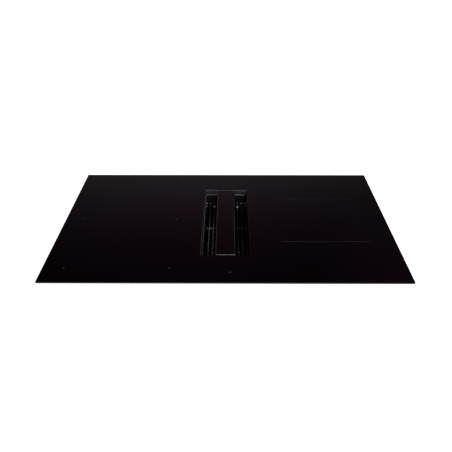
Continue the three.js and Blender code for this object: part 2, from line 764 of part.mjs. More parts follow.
function makeSpigot() {
  const shell = plate(spigotOutline(DUCT_WALL, THROAT.y, DUCT_END), Z_DECK_TOP, Z_DUCT_TOP);
  const bore = plate(
    spigotOutline(0, THROAT.y - 1, DUCT_END + 1), Z_DECK_TOP + DUCT_WALL, Z_DUCT_TOP - DUCT_WALL);
  const tube = toSolid(shell).subtract(toSolid(bore));
  const stopRear = DAMPER_Y - DAMPER_THICK / 2 - GAP;
  const stopFront = stopRear - DUCT_WALL;
  const wallX = DUCT_INNER_X + DUCT_WALL / 2;
  const stopTop = DAMPER_PIN_Z - 2 * DAMPER_KNUCKLE_R;
  const stopBase = Z_DECK_TOP + DUCT_WALL / 2;
  const inner = DUCT_INNER_X - DAMPER_STOP;
  const stop = toSolid(block(DUCT_X - wallX, DUCT_X + wallX, stopFront, stopRear, stopBase, stopTop))
    .subtract(toSolid(block(DUCT_X - inner, DUCT_X + inner, stopFront - 1, stopRear + 1,
      stopBase + DAMPER_STOP, stopTop + 1)));
  piece('outlet_spigot', toGeometry(tube.add(stop)), blackPlastic());
}

// A rod along X from one end to the other, at a height and depth.
function rodAlongX(x0, x1, y, z, radius, sides = 16) {
  const rod = new THREE.CylinderGeometry(radius, radius, x1 - x0, sides);
  rod.rotateZ(Math.PI / 2);
  rod.translate((x0 + x1) / 2, y, z);
  return rod;
}

function makeDamper() {
  const x = DUCT_INNER_X - DAMPER_SIDE_GAP;
  const floor = Z_DECK_TOP + DUCT_WALL + GAP;
  const half = DAMPER_THICK / 2;
  const flap = join(
    [
      block(DUCT_X - x, DUCT_X + x, DAMPER_Y - half, DAMPER_Y + half, floor, DAMPER_PIN_Z),
      rodAlongX(DUCT_X - x, DUCT_X + x, DAMPER_Y, DAMPER_PIN_Z, DAMPER_KNUCKLE_R),
    ],
    [rodAlongX(DUCT_X - x - 1, DUCT_X + x + 1, DAMPER_Y, DAMPER_PIN_Z, DAMPER_PIN_R + GAP)],
  );
  piece('damper_flap', flap, blackPlastic());
  const reach = DUCT_INNER_X - GAP;
  piece(
    'damper_pin',
    rodAlongX(DUCT_X - reach, DUCT_X + reach, DAMPER_Y, DAMPER_PIN_Z, DAMPER_PIN_R, 12),
    steel(),
  );
}

// ---- induction bays ------------------------------------------------------------------

const FAN_X = BAY_X0 + TRAY_SHEET + FAN_INSET + FAN_SIZE / 2;
const CLAMP_X = BAY_X1 + CLAMP_OFFSET;
const EAR_TOP = Z_RIM - EAR_DROP + EAR_THICK;
const clampYs = [-CLAMP_SPREAD / 2, CLAMP_SPREAD / 2];

function makeTray(name, side) {
  const shell = sideBlock(side, BAY_X0, BAY_X1, -BAY_Y, BAY_Y, Z_TRAY, Z_GLASS);
  const room = sideBlock(
    side, BAY_X0 + TRAY_SHEET, BAY_X1 - TRAY_SHEET, -BAY_Y + TRAY_SHEET, BAY_Y - TRAY_SHEET,
    Z_TRAY_TOP, Z_GLASS + 1);
  const cuts = [room];
  const ears = [];
  const ventLength = FAN_SIZE - 2 * FAN_INSET;
  for (let i = 0; i < VENT_COUNT; i += 1) {
    const shift = (i - (VENT_COUNT - 1) / 2) * VENT_PITCH;
    cuts.push(sideBlock(
      side, FAN_X - ventLength / 2, FAN_X + ventLength / 2,
      FAN_Y + shift - VENT_WIDTH / 2, FAN_Y + shift + VENT_WIDTH / 2, Z_TRAY - 1, Z_TRAY_TOP + 1));
    cuts.push(sideBlock(
      side, ZONE_X + shift - VENT_WIDTH / 2, ZONE_X + shift + VENT_WIDTH / 2,
      BAY_Y - 2 * TRAY_SHEET, BAY_Y + 1, Z_TRAY + TRAY_DEPTH / 4, Z_TRAY + TRAY_DEPTH / 2));
  }
  for (const y of clampYs) {
    ears.push(sideBlock(
      side, BAY_X1 - TRAY_SHEET / 2, CLAMP_X + CLAMP_WIDTH / 2, y - EAR_WIDTH / 2, y + EAR_WIDTH / 2,
      EAR_TOP - EAR_THICK, EAR_TOP));
    cuts.push(post(side * CLAMP_X, y, SCREW_R + GAP, EAR_TOP - 2 * EAR_THICK, EAR_TOP + 1, 16));
  }
  piece(`bay_tray_${name}`, join([shell, ...ears], cuts), zinc());
}

function makeCoils(name, side) {
  const z0 = Z_COIL_PLATE;
  const px0 = BAY_X0 + TRAY_SHEET + COIL_PLATE_MARGIN;
  const px1 = BAY_X1 - TRAY_SHEET - COIL_PLATE_MARGIN;
  const reach = (ZONE_PITCH + COIL_LENGTH) / 2 + 2 * MICA_MARGIN;
  const parts = [sideBlock(side, px0, px1, ZONE_Y - reach, ZONE_Y + reach, z0, Z_COIL)];
  for (const x of [px0, px1 - LEG_SIZE]) {
    for (const y of [ZONE_Y - reach, ZONE_Y + reach - LEG_SIZE]) {
      parts.push(sideBlock(side, x, x + LEG_SIZE, y, y + LEG_SIZE, Z_TRAY_TOP, Z_COIL));
    }
  }
  piece(`coil_plate_${name}`, join(parts), anodised());

  const halfX = COIL_WIDTH / 2;
  const halfY = COIL_LENGTH / 2;
  ENDS.forEach(([end, sign]) => {
    const y = ZONE_Y + sign * ZONE_PITCH / 2;
    const coil = withHoles(
      sideRectangle(side, ZONE_X - halfX, ZONE_X + halfX, y - halfY, y + halfY, COIL_CORNER),
      [roundHole(side * ZONE_X, y, COIL_EYE_R)],
    );
    piece(`coil_${name}_${end}`, plate(coil, Z_COIL, Z_MICA, 8), copper());
    piece(
      `coil_sensor_${name}_${end}`,
      post(side * ZONE_X, y, SENSOR_R, Z_COIL, Z_MICA, 16),
      blackPlastic(),
    );
  });
  const mx = halfX + MICA_MARGIN;
  const my = (ZONE_PITCH + COIL_LENGTH) / 2 + MICA_MARGIN;
  piece(
    `mica_sheet_${name}`,
    sideBlock(side, ZONE_X - mx, ZONE_X + mx, ZONE_Y - my, ZONE_Y + my, Z_MICA, Z_GLASS),
    mica(),
  );
}

// A circuit board on corner posts that stand on the floor below it.
function boardOnPosts(side, x0, x1, y0, y1, floor) {
  const top = floor + BOARD_POST;
  const parts = [sideBlock(side, x0, x1, y0, y1, top, top + BOARD_THICK)];
  for (const x of [x0, x1 - BOARD_POST_SIZE]) {
    for (const y of [y0, y1 - BOARD_POST_SIZE]) {
      parts.push(sideBlock(side, x, x + BOARD_POST_SIZE, y, y + BOARD_POST_SIZE, floor,
        top + BOARD_THICK / 2));
    }
  }
  return join(parts);
}

function makePower(name, side) {
  const x0 = FAN_X + FAN_SIZE / 2 + POWER_BOARD_SPACE;
  const x1 = BAY_X1 - TRAY_SHEET - COIL_PLATE_MARGIN - LEG_SIZE - GAP;
  const halfY = POWER_BOARD_LENGTH / 2;
  piece(`power_board_${name}`, boardOnPosts(side, x0, x1, -halfY, halfY, Z_TRAY_TOP), boardGreen());

  const base = Z_TRAY_TOP + BOARD_POST + BOARD_THICK;
  const sx0 = x0 + BOARD_POST_SIZE;
  const fins = [sideBlock(
    side, sx0, sx0 + SINK_WIDTH, -SINK_LENGTH / 2, SINK_LENGTH / 2, base, base + SINK_BASE)];
  const pitch = (SINK_WIDTH - SINK_FIN) / (SINK_FINS - 1);
  for (let i = 0; i < SINK_FINS; i += 1) {
    fins.push(sideBlock(
      side, sx0 + i * pitch, sx0 + i * pitch + SINK_FIN, -SINK_LENGTH / 2, SINK_LENGTH / 2,
      base + SINK_BASE / 2, base + SINK_HEIGHT));
  }
  piece(`heat_sink_${name}`, join(fins), anodised());
}

function makeFan(name, side) {
  const fan = new THREE.Group();
  fan.position.set(side * FAN_X, FAN_Y, Z_TRAY_TOP + GAP);
  cooktop.add(fan);

  const half = FAN_SIZE / 2;
  const body = withHoles(rectangle(-half, half, -half, half, 4), [roundHole(0, 0, FAN_BORE_R)]);
  const spokes = [0, 1].map((i) => {
    const spoke = block(
      -FAN_BORE_R - 1, FAN_BORE_R + 1, -FAN_BASE_THICK, FAN_BASE_THICK, 0, FAN_BASE_THICK);
    return spoke.rotateZ(i * Math.PI / 2);
  });
  const frame = join([
    plate(body, 0, FAN_HEIGHT, 12),
    ...spokes,
    post(0, 0, FAN_HUB_R - 1, 0, FAN_BASE_THICK),
    post(0, 0, FAN_PIN_R, FAN_BASE_THICK / 2, FAN_HEIGHT - FAN_BASE_THICK, 16),
  ]);
  piece(`cooling_fan_frame_${name}`, frame, blackPlastic(), fan);

  const hubBase = FAN_BASE_THICK + GAP;
  const hubTop = FAN_HEIGHT - GAP;
  const tip = FAN_BORE_R - FAN_TIP_GAP;
  const blades = [];
  for (let i = 0; i < FAN_BLADE_COUNT; i += 1) {
    const blade = block(
      FAN_HUB_R - 2, tip - 1, -FAN_BLADE_THICK / 2, FAN_BLADE_THICK / 2,
      -FAN_HEIGHT / 3, FAN_HEIGHT / 3);
    blade.rotateX(side * Math.PI / 4);
    blade.translate(0, 0, (hubBase + hubTop) / 2);
    blades.push(blade.rotateZ(i / FAN_BLADE_COUNT * 2 * Math.PI));
  }
  const rotor = join(
    [post(0, 0, FAN_HUB_R, hubBase, hubTop), ...blades],
    [post(0, 0, FAN_PIN_R + GAP, -1, FAN_HEIGHT + 1, 16)],
  );
  piece(`cooling_fan_rotor_${name}`, rotor, blackPlastic(), fan);
}

// ---- touch control -------------------------------------------------------------------

function makeTouchControl() {
  const x = WELL.x - GAP;
  const y0 = -BAY_Y;
  const y1 = WELL.y0 - GAP;
  const z0 = Z_GLASS - TOUCH_HEIGHT;
  const floor = z0 + TOUCH_WALL;
  const tray = withHoles(rectangle(-x, x, y0, y1), [
    hole(-x + TOUCH_WALL, x - TOUCH_WALL, y0 + TOUCH_WALL, y1 - TOUCH_WALL),
  ]);
  piece(
    'touch_holder',
    join([plate(tray, z0, Z_GLASS), plate(rectangle(-x, x, y0, y1), z0, floor)]),
    blackPlastic(),
  );

  const m = TOUCH_WALL + TOUCH_BOARD_MARGIN;
  const top = Z_GLASS - LIGHT_GUIDE_THICK;
  const board = [block(-x + m, x - m, y0 + m, y1 - m, top - BOARD_THICK, top)];
  for (const px of [-x + m, x - m - BOARD_POST_SIZE]) {
    for (const py of [y0 + m, y1 - m - BOARD_POST_SIZE]) {
      board.push(block(
        px, px + BOARD_POST_SIZE, py, py + BOARD_POST_SIZE, floor, top - BOARD_THICK / 2));
    }
  }
  piece('touch_board', join(board), boardGreen());

  const windows = [];
  const pitch = (2 * (x - m)) / (LIGHT_WINDOWS + 1);
  const wy = (y0 + y1) / 2;
  const half = LIGHT_WINDOW_SIZE / 2;
  for (let i = 1; i <= LIGHT_WINDOWS; i += 1) {
    const wx = -x + m + i * pitch;
    windows.push(block(wx - half, wx + half, wy - half, wy + half, top - 1, Z_GLASS + 1));
  }
  const guide = block(-x + m, x - m, y0 + m, y1 - m, top, Z_GLASS);
  piece('light_guide', join([guide], windows), blackPlastic());
}

// ---- electrical boxes ----------------------------------------------------------------

function makeDriverBox() {
  const x1 = -WELL.x - DRIVER_BOX_SETBACK;
  const x0 = x1 - DRIVER_BOX_WIDTH;
  const y0 = DRIVER_BOX_Y - DRIVER_BOX_LENGTH / 2;
  const y1 = DRIVER_BOX_Y + DRIVER_BOX_LENGTH / 2;
  piece(
    'driver_box',
    join(
      [block(x0, x1, y0, y1, Z_BOX, Z_TRAY)],
      [block(x0 + BOX_WALL, x1 - BOX_WALL, y0 + BOX_WALL, y1 - BOX_WALL, Z_BOX + BOX_WALL,
        Z_TRAY + 1)],
    ),
    greyPlastic(),
  );
  const m = BOX_WALL + GAP;
  piece(
    'driver_board',
    boardOnPosts(1, x0 + m, x1 - m, y0 + m, y1 - m, Z_BOX + BOX_WALL),
    boardGreen(),
  );
}

function makeTerminalBox() {
  const x0 = -BAY_X1 + TERMINAL_BOX_SIDE_INSET;
  const x1 = x0 + TERMINAL_BOX_WIDTH;
  const x = (x0 + x1) / 2;
  const y1 = BAY_Y - TERMINAL_BOX_REAR_INSET;
  const y0 = y1 - TERMINAL_BOX_LENGTH;
  const glandZ = Z_TRAY - BOX_HEIGHT / 2;
  const glandHole = new THREE.CylinderGeometry(GLAND_R + GAP, GLAND_R + GAP, 4 * BOX_WALL, 20);
  glandHole.translate(x, y1, glandZ);
  piece(
    'terminal_box',
    join(
      [block(x0, x1, y0, y1, Z_BOX, Z_TRAY)],
      [
        block(x0 + BOX_WALL, x1 - BOX_WALL, y0 + BOX_WALL, y1 - BOX_WALL, Z_BOX - 1,
          Z_TRAY - BOX_WALL),
        glandHole,
      ],
    ),
    greyPlastic(),
  );
  piece(
    'terminal_cover',
    plate(rectangle(x0, x1, y0, y1), Z_BOX - BOX_WALL, Z_BOX),
    greyPlastic(),
  );
  const bw = TERMINAL_BLOCK_WIDTH / 2;
  piece(
    'terminal_block',
    block(
      x - bw, x + bw, y0 + 2 * BOX_WALL,
      y0 + 2 * BOX_WALL + TERMINAL_BLOCK_LENGTH,
      Z_TRAY - BOX_WALL - TERMINAL_BLOCK_HEIGHT, Z_TRAY - BOX_WALL),
    mica(),
  );

  // The gland's axis points out of the rear wall.
  const gland = turned([
    [GLAND_BORE_R, -GLAND_LENGTH / 2],
    [GLAND_R, -GLAND_LENGTH / 2],
    [GLAND_R, GAP],
    [GLAND_FLANGE_R, GAP],
    [GLAND_FLANGE_R, GAP + GLAND_FLANGE_THICK],
    [GLAND_R, GAP + GLAND_LENGTH],
    [GLAND_BORE_R, GAP + GLAND_LENGTH],
    [GLAND_BORE_R, -GLAND_LENGTH / 2],
  ], 20);
  const mesh = piece('cable_gland', gland, blackPlastic());
  mesh.position.set(x, y1, glandZ);
  mesh.rotation.x = -Math.PI / 2;
}

// ---- clamps --------------------------------------------------------------------------

function makeClamp(name, side, end, sign) {
  const clamp = new THREE.Group();
  clamp.position.set(side * CLAMP_X, sign * CLAMP_SPREAD / 2, 0);
  cooktop.add(clamp);

  const armTop = Z_RIM - WORKTOP_MAX;
  const armBase = armTop - CLAMP_THICK;
  const half = CLAMP_WIDTH / 2;
  const y0 = sign > 0 ? -CLAMP_LENGTH + half : -half;
  const arm = withHoles(rectangle(-half, half, y0, y0 + CLAMP_LENGTH, half - GAP), [
    roundHole(0, 0, SCREW_R + GAP),
  ]);
  piece(`clamp_arm_${name}_${end}`, plate(arm, armBase, armTop, 4), zinc(), clamp);

  const headTop = armBase - GAP;
  const screw = turned([
    [0, headTop - SCREW_HEAD_THICK],
    [SCREW_HEAD_R, headTop - SCREW_HEAD_THICK],
    [SCREW_HEAD_R, headTop],
    [SCREW_R, headTop],
    [SCREW_R, EAR_TOP + 1],
    [0, EAR_TOP + 1],
  ], 12);
  piece(`clamp_screw_${name}_${end}`, screw, steel(), clamp);
}

// ---- the whole cooktop ---------------------------------------------------------------

makeGlass();
makeFlap();
makeFilter();
makeWell();
makePlenum();
makeBasin();
makeScroll();
makeMotor();
makeImpeller();
makeSpigot();
makeDamper();
for (const [name, side] of SIDES) {
  makeTray(name, side);
  makeCoils(name, side);
  makePower(name, side);
  makeFan(name, side);
  for (const [end, sign] of ENDS) {
    makeClamp(name, side, end, sign);
  }
}
makeTouchControl();
makeDriverBox();
makeTerminalBox();

export default cooktop;
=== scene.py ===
"""The looks of a downdraft induction cooktop, laid out as a Blender add-on and run as a script.

Metres. +X is right, -Y is the user's side, +Z is up.
"""

import json
import math
from functools import cache, partialmethod

import bmesh
import bpy
from bpy.props import FloatProperty, FloatVectorProperty, IntProperty, PointerProperty
from mathutils import Matrix, Vector


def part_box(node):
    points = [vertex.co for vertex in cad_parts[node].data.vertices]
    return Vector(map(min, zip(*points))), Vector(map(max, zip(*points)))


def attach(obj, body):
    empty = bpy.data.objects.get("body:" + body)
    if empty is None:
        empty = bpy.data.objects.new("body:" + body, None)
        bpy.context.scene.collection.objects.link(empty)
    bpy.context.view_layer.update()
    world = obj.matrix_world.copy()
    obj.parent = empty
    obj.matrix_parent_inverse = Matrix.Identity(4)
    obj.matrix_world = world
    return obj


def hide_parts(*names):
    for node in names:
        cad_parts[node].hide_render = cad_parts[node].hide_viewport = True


bl_info = {
    "name": "Downdraft cooktop looks",
    "version": (1, 0, 0),
    "blender": (4, 5, 0),
    "location": "3D View > Sidebar > Cooktop",
    "description": "Finishes, fine pieces and stage of a downdraft induction cooktop",
    "category": "Object",
}

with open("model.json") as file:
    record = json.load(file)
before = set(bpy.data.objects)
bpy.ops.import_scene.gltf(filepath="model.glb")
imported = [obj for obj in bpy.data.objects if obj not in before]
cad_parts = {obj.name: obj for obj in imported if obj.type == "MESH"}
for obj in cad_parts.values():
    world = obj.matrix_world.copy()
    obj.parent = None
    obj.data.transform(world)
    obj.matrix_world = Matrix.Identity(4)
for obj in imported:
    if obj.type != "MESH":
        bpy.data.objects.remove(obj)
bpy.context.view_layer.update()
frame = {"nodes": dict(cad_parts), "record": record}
SLOT_OF = {part["node"]: part["material_slot"] for part in frame["record"]["subparts"]}
BODIES = frame["record"]["behaviour"]["bodies"]
BODY_OF = {node: body for body, nodes in BODIES.items() for node in nodes}
MIRROR = ((-1, "left"), (1, "right"))
QUARTERS = [f"{side}_{end}" for _, side in MIRROR for end in ("front", "rear")]
FULL_TURN = 2 * math.pi
# Edges over the sharp angle are bevelled, and those under the smooth one are shaded smooth.
# Faces that lie within the flat angle are one.
SHARP_EDGE = math.radians(30)
SMOOTH_EDGE = math.radians(50)
FLAT_EDGE = math.radians(1)
SAME_POINT = 1e-6
# The well's flange under the glass, and a small screw's share of the full size.
WELL_FLANGE = 0.008
SMALL_SCREW = 0.8


# ---- node trees ----------------------------------------------------------------------


class Number:
    """A socket that carries a number, with the arithmetic that adds Math nodes."""

    def __init__(self, nodes, output):
        self.nodes = nodes
        self.output = output

    def maths(self, operation, *others, first=None):
        values = [self, *others] if first is None else [first, self]
        node = self.nodes.add("ShaderNodeMath", {"operation": operation}, dict(enumerate(values)))
        return Number(self.nodes, node.outputs[0])

    def __rsub__(self, other):
        return self.maths("SUBTRACT", first=other)

    def __rtruediv__(self, other):
        return self.maths("DIVIDE", first=other)

    def __neg__(self):
        return self.maths("MULTIPLY", -1.0)

    __add__ = __radd__ = partialmethod(maths, "ADD")
    __sub__ = partialmethod(maths, "SUBTRACT")
    __mul__ = __rmul__ = partialmethod(maths, "MULTIPLY")
    __truediv__ = partialmethod(maths, "DIVIDE")
    __pow__ = partialmethod(maths, "POWER")
    __gt__ = partialmethod(maths, "GREATER_THAN")
    __lt__ = partialmethod(maths, "LESS_THAN")
    __abs__ = partialmethod(maths, "ABSOLUTE")
    sine = partialmethod(maths, "SINE")
    floor = partialmethod(maths, "FLOOR")
    least = partialmethod(maths, "MINIMUM")
    most = partialmethod(maths, "MAXIMUM")


class Nodes:
    """A node tree, with one method that adds any node."""

    def __init__(self, tree):
        self.tree = tree

    def add(self, kind, settings=None, values=None):
        node = self.tree.nodes.new(kind)
        for name, value in (settings or {}).items():
            setattr(node, name, value)
        for key, value in (values or {}).items():
            self.feed(node.inputs[key], value)
        return node

    def made(self, kind, values=None, **settings):
        """The first output of a new node."""
        return self.add(kind, settings, values).outputs[0]

    def feed(self, socket, value):
        if isinstance(value, Number):
            value = value.output
        if isinstance(value, bpy.types.NodeSocket):
            self.tree.links.new(value, socket)
        else:
            socket.default_value = value

    def parts(self, vector):
        """The three numbers of a vector or a colour."""
        split = self.add("ShaderNodeSeparateXYZ", values={0: vector})
        return [Number(self, output) for output in split.outputs]

    def blend(self, factor, *colours):
        """A colour between two others. Each is a socket, three numbers or the number of a grey."""
        node = self.add("ShaderNodeMix", {"data_type": "RGBA"}, {"Factor": factor})
        # The node's number and vector sockets come before its two colours and its blended one.
        for socket, colour in zip(node.inputs[6:8], colours):
            if isinstance(colour, float):
                colour = (colour,) * 3
            self.feed(socket, colour if isinstance(colour, bpy.types.NodeSocket) else (*colour, 1.0))
        return node.outputs[2]


class Finish(Nodes):
    """A material on Object coordinates: a Principled shader and what varies over the surface."""

    def __init__(self, name, metallic=0.0, **constants):
        self.material = bpy.data.materials.new(name)
        self.material.use_nodes = True
        super().__init__(self.material.node_tree)
        self.shader = self.tree.nodes["Principled BSDF"]
        self.place = self.add("ShaderNodeTexCoord").outputs["Object"]
        self.set(Metallic=metallic, **constants)

    def noise(self, scale, detail=2.0, stretch=None):
        place = self.place
        if stretch:
            place = self.made("ShaderNodeMapping", {"Vector": place, "Scale": stretch})
        values = {"Vector": place, "Scale": scale, "Detail": detail}
        return Number(self, self.add("ShaderNodeTexNoise", values=values).outputs["Fac"])

    def cells(self, scale, output="Color", feature="F1", place=None):
        """A number that each cell has of its own, or a distance in the cells."""
        values = {"Vector": place or self.place, "Scale": scale}
        found = self.add("ShaderNodeTexVoronoi", {"feature": feature}, values).outputs[output]
        return self.parts(found)[0] if output == "Color" else Number(self, found)

    def set(self, **sockets):
        for name, value in sockets.items():
            self.feed(self.shader.inputs[name.replace("_", " ")], value)

    def bump(self, height, distance, strength):
        values = {"Height": height, "Distance": distance, "Strength": strength}
        self.set(Normal=self.made("ShaderNodeBump", values))


# ---- finishes ------------------------------------------------------------------------


def black_glass(name):
    """Polished black glass. The slot's walls are matt. Its far wall is a lighter ground grey, partly the
    edge's own colour and partly painted light, and the arris above it is a painted highlight.
    """
    colours = bpy.context.scene.cooktop_colours
    sizes = bpy.context.scene.cooktop_glass
    finish = Finish(name, IOR=1.5)
    lo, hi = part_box("air_well")
    inset = WELL_FLANGE + sizes.slot_wall
    ground = sizes.slot_edge
    x, y, _ = finish.parts(finish.place)
    beyond = y - (hi.y - inset)
    between = abs(x) < hi.x - inset - ground
    # Painted light: the far wall is lightened, partly as its own ground edge, and the arris strip beyond it
    # is a painted highlight.
    wall = (abs(beyond) < ground) * between
    arris = (abs(beyond - 2 * ground) < ground) * between
    sides = (abs(abs(x) - hi.x + inset) < ground) * (abs(y - (lo.y + hi.y) / 2) < (hi.y - lo.y) / 2)
    smears = finish.noise(9.0, 4.0)
    walled = finish.blend(wall, colours.glass, colours.ground_edge)
    finish.set(
        Base_Color=finish.blend(arris, walled, colours.arris),
        Roughness=(wall + arris) * 0.4 + sides * 0.6 + smears * 0.03 + 0.03,
    )
    finish.bump(finish.noise(35.0, 1.0), 0.00002, 0.2)
    return finish


def anodised(name):
    """Dark anodised aluminium with a fine brushed grain along Y. The flap's near end is a light grey,
    painted light on an end face that lies in shade.
    """
    finish = Finish(name, Specular_IOR_Level=0.25)
    grain = finish.noise(60.0, 3.0, (30.0, 1.0, 30.0))
    lo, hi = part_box("flap_frame")
    x, y, z = finish.parts(finish.place)
    depth = 0.0018
    # Painted light: the near end's light grey stands in for light on an end face that lies in shade.
    lighter_end = (abs(x) < hi.x) * (abs(y - lo.y) < depth) * (z > lo.z)
    dark = finish.blend(grain, 0.026, 0.048)
    finish.set(Base_Color=finish.blend(lighter_end, dark, (0.24, 0.235, 0.235)), Roughness=grain * 0.1 + 0.34)
    finish.bump(grain, 0.000005, 0.3)
    return finish


def brushed_steel(name, dark, light, roughness, metallic=1.0):
    """Brushed stainless steel, a little stained by grease and washing."""
    finish = Finish(name, metallic, Specular_IOR_Level=0.15)
    grain = finish.noise(80.0, 2.0, (2.0, 25.0, 12.0))
    stains = finish.noise(55.0, 5.0)
    finish.clean = finish.blend(stains, dark, light)
    finish.set(Base_Color=finish.clean, Roughness=grain * 0.1 + stains * 0.08 + roughness)
    finish.bump(grain, 0.00001, 0.4)
    return finish


def filter_steel(name):
    """Blackened steel of the ribs and crossbars, with painted shade beside the basket's walls and towards
    the rear, which starts further forward in the right gap.
    """
    finish = brushed_steel(name, 0.16, 0.28, 0.4, 0.3)
    x, y, _ = finish.parts(finish.place)
    # Painted shade: the ribs darken towards the rear, from further forward in the right gap, and beside the
    # walls.
    left, right = 0.02, -0.09
    fade, beside = 0.05, 0.005
    front = (x < 0.0) * (left - right) + right
    rear = ((y - front) / fade).most(0.0).least(0.9)
    painted_shade = rear.most(abs(x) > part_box("filter_grate")[1].x - beside)
    finish.set(Base_Color=finish.blend(painted_shade, finish.clean, 0.02))
    return finish


def basket_steel(name):
    """Blackened sheet, its black deepened as painted shade. The rims of its ends are unblackened steel, and
    the top of its left rim is a painted highlight, lighter where light from the right falls.
    """
    finish = Finish(name, Specular_IOR_Level=0.15)
    lo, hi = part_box("filter_frame")
    rim = 3.2 * bpy.context.scene.cooktop_filter.bead
    bare_depth, highlight_depth = 0.0016, 0.0008
    across, along, level = finish.parts(finish.place)
    end = abs(along - (lo.y + hi.y) / 2) > (hi.y - lo.y) / 2 - rim
    lighter_end = (level > hi.z - bare_depth) * end
    # Painted highlight: the top of the left rim is lighter, where light from the right falls on it.
    left_rim_highlight = (level > hi.z - highlight_depth) * (across < 0.0)
    stains = finish.noise(90.0, 3.0)
    # Partly painted shade: the sheet's black is darkened nearly to nothing.
    black = finish.blend(stains, 0.002, 0.005)
    black_with_highlight = finish.blend(left_rim_highlight, black, finish.blend(stains, 0.22, 0.36))
    steel = finish.blend(stains, (0.15, 0.15, 0.16), (0.21, 0.21, 0.22))
    finish.set(
        Base_Color=finish.blend(lighter_end, black_with_highlight, steel),
        Metallic=lighter_end,
        Roughness=stains * 0.1 + 0.8 - lighter_end * 0.5,
    )
    finish.bump(stains, 0.000004, 0.3)
    return finish


def galvanised(name):
    """Zinc-coated sheet: spangles about a centimetre across, each with its own sheen."""
    finish = Finish(name, 1.0)
    drift = finish.noise(40.0)
    values = {0: drift, 1: (0.01, 0.01, 0.01), 2: finish.place}
    warped = finish.made("ShaderNodeVectorMath", values, operation="MULTIPLY_ADD")
    sheen = finish.cells(130.0, place=warped)
    fine = finish.noise(400.0)
    finish.set(
        Base_Color=finish.blend(sheen * 0.8 + fine * 0.2, (0.21, 0.22, 0.225), (0.29, 0.3, 0.305)),
        Roughness=sheen * 0.12 + drift * 0.1 + 0.46,
    )
    finish.bump(fine, 0.00002, 0.4)
    return finish


def moulded(name, dark, light):
    """Moulded plastic: fine spark-eroded grain, with slow flow marks."""
    finish = Finish(name)
    grain = finish.noise(1400.0)
    flow = finish.noise(14.0, 3.0)
    finish.set(
        Base_Color=finish.blend(flow * 0.6 + grain * 0.4, dark, light),
        Roughness=grain * 0.16 + flow * 0.12 + 0.4,
    )
    finish.bump(grain, 0.00005, 0.45)
    return finish


def circuit_board(name):
    """Green solder mask over copper tracks."""
    finish = Finish(name)
    tracks = finish.cells(170.0, "Distance", "DISTANCE_TO_EDGE") < 0.05
    mottle = finish.noise(30.0)
    plain = finish.blend(mottle, (0.004, 0.04, 0.016), (0.008, 0.06, 0.025))
    finish.set(
        Base_Color=finish.blend(tracks, plain, (0.014, 0.09, 0.035)),
        Roughness=mottle * 0.1 + tracks * 0.1 + 0.3,
    )
    finish.bump(tracks, 0.00003, 0.5)
    return finish


def mottled(name, pattern, dark, light, roughness, bump, metallic=0.0):
    """Colour, roughness and bump that all follow one pattern of noise or cells."""
    finish = Finish(name, metallic)
    kind, *values = pattern
    value = getattr(finish, kind)(*values)
    least, more = roughness
    finish.set(Base_Color=finish.blend(value, dark, light), Roughness=value * more + least)
    finish.bump(value, *bump)
    return finish


def print_grey(name):
    """The grey ceramic print on the glass, thin in places."""
    full = Vector(bpy.context.scene.cooktop_colours.print_grey)
    return mottled(name, ("noise", 900.0), full * 0.7, full, (0.4, 0.3), (0.00001, 0.3))


# A mottled finish has its pattern, its dark and light colour, its least roughness and what is
# added to it, the depth and strength of its bump and, where it isn't 0, how metallic it is.
FINISHES = {
    "black_glass": [black_glass],
    "anodised": [anodised],
    "filter_steel": [filter_steel],
    "basket_steel": [basket_steel],
    "rivet_steel": [brushed_steel, (0.6, 0.6, 0.61), (0.75, 0.75, 0.76), 0.2],
    "galvanised": [galvanised],
    "black_plastic": [moulded, (0.012, 0.012, 0.013), (0.026, 0.026, 0.028)],
    # A darker copy of the black plastic for the air well: painted shade in its recess.
    "well_black": [moulded, 0.002, 0.005],
    "grey_plastic": [moulded, (0.13, 0.13, 0.14), (0.21, 0.21, 0.22)],
    "circuit_board": [circuit_board],
    "print_grey": [print_grey],
    # Wire in a film of grease, darkened almost to black as painted shade.
    "filter_mesh": [
        mottled, ("noise", 120.0, 3.0), 0.004, (0.016, 0.015, 0.014), (0.4, 0.3), (0.00004, 0.5)],
    # Black powder coat with its orange peel.
    "motor_metal": [
        mottled, ("noise", 350.0), (0.016, 0.016, 0.018), (0.03, 0.03, 0.032), (0.36, 0.2), (0.0001, 0.4)],
    # Zinc plating with a faint blue.
    "screw_steel": [
        mottled, ("noise", 220.0, 4.0), (0.3, 0.31, 0.33), (0.5, 0.51, 0.54),
        (0.3, 0.25), (0.00002, 0.5), 1.0],
    # Closed-cell foam and rubber: small pits, no shine.
    "seal_rubber": [
        mottled, ("cells", 700.0, "Distance"), 0.008, (0.03, 0.03, 0.031), (0.75, 0.2), (0.0002, 0.5)],
    # Varnished litz wire with fine strands.
    "coil_copper": [
        mottled, ("noise", 900.0), (0.28, 0.1, 0.04), (0.6, 0.28, 0.13), (0.28, 0.3), (0.0001, 0.6), 0.7],
    # Pressed mica: small flakes in a warm grey.
    "mica": [mottled, ("cells", 500.0), (0.46, 0.41, 0.31), (0.66, 0.61, 0.5), (0.35, 0.4), (0.00004, 0.4)],
    # Bare extruded aluminium with die lines along Y.
    "heat_sink": [
        mottled, ("noise", 90.0, 2.0, (14.0, 0.4, 6.0)), (0.46, 0.46, 0.47), (0.7, 0.7, 0.71),
        (0.22, 0.26), (0.00005, 0.5), 1.0],
}


@cache
def finish_of(slot):
    """The material of a slot, made the first time it is asked for."""
    make, *values = FINISHES[slot]
    return make(slot, *values).material


# ---- piece helpers -------------------------------------------------------------------


def dress(*nodes):
    """Gives CAD nodes the finish of their own slot."""
    for node in nodes:
        mesh = frame["nodes"][node].data
        mesh.materials.clear()
        mesh.materials.append(finish_of(SLOT_OF[node]))


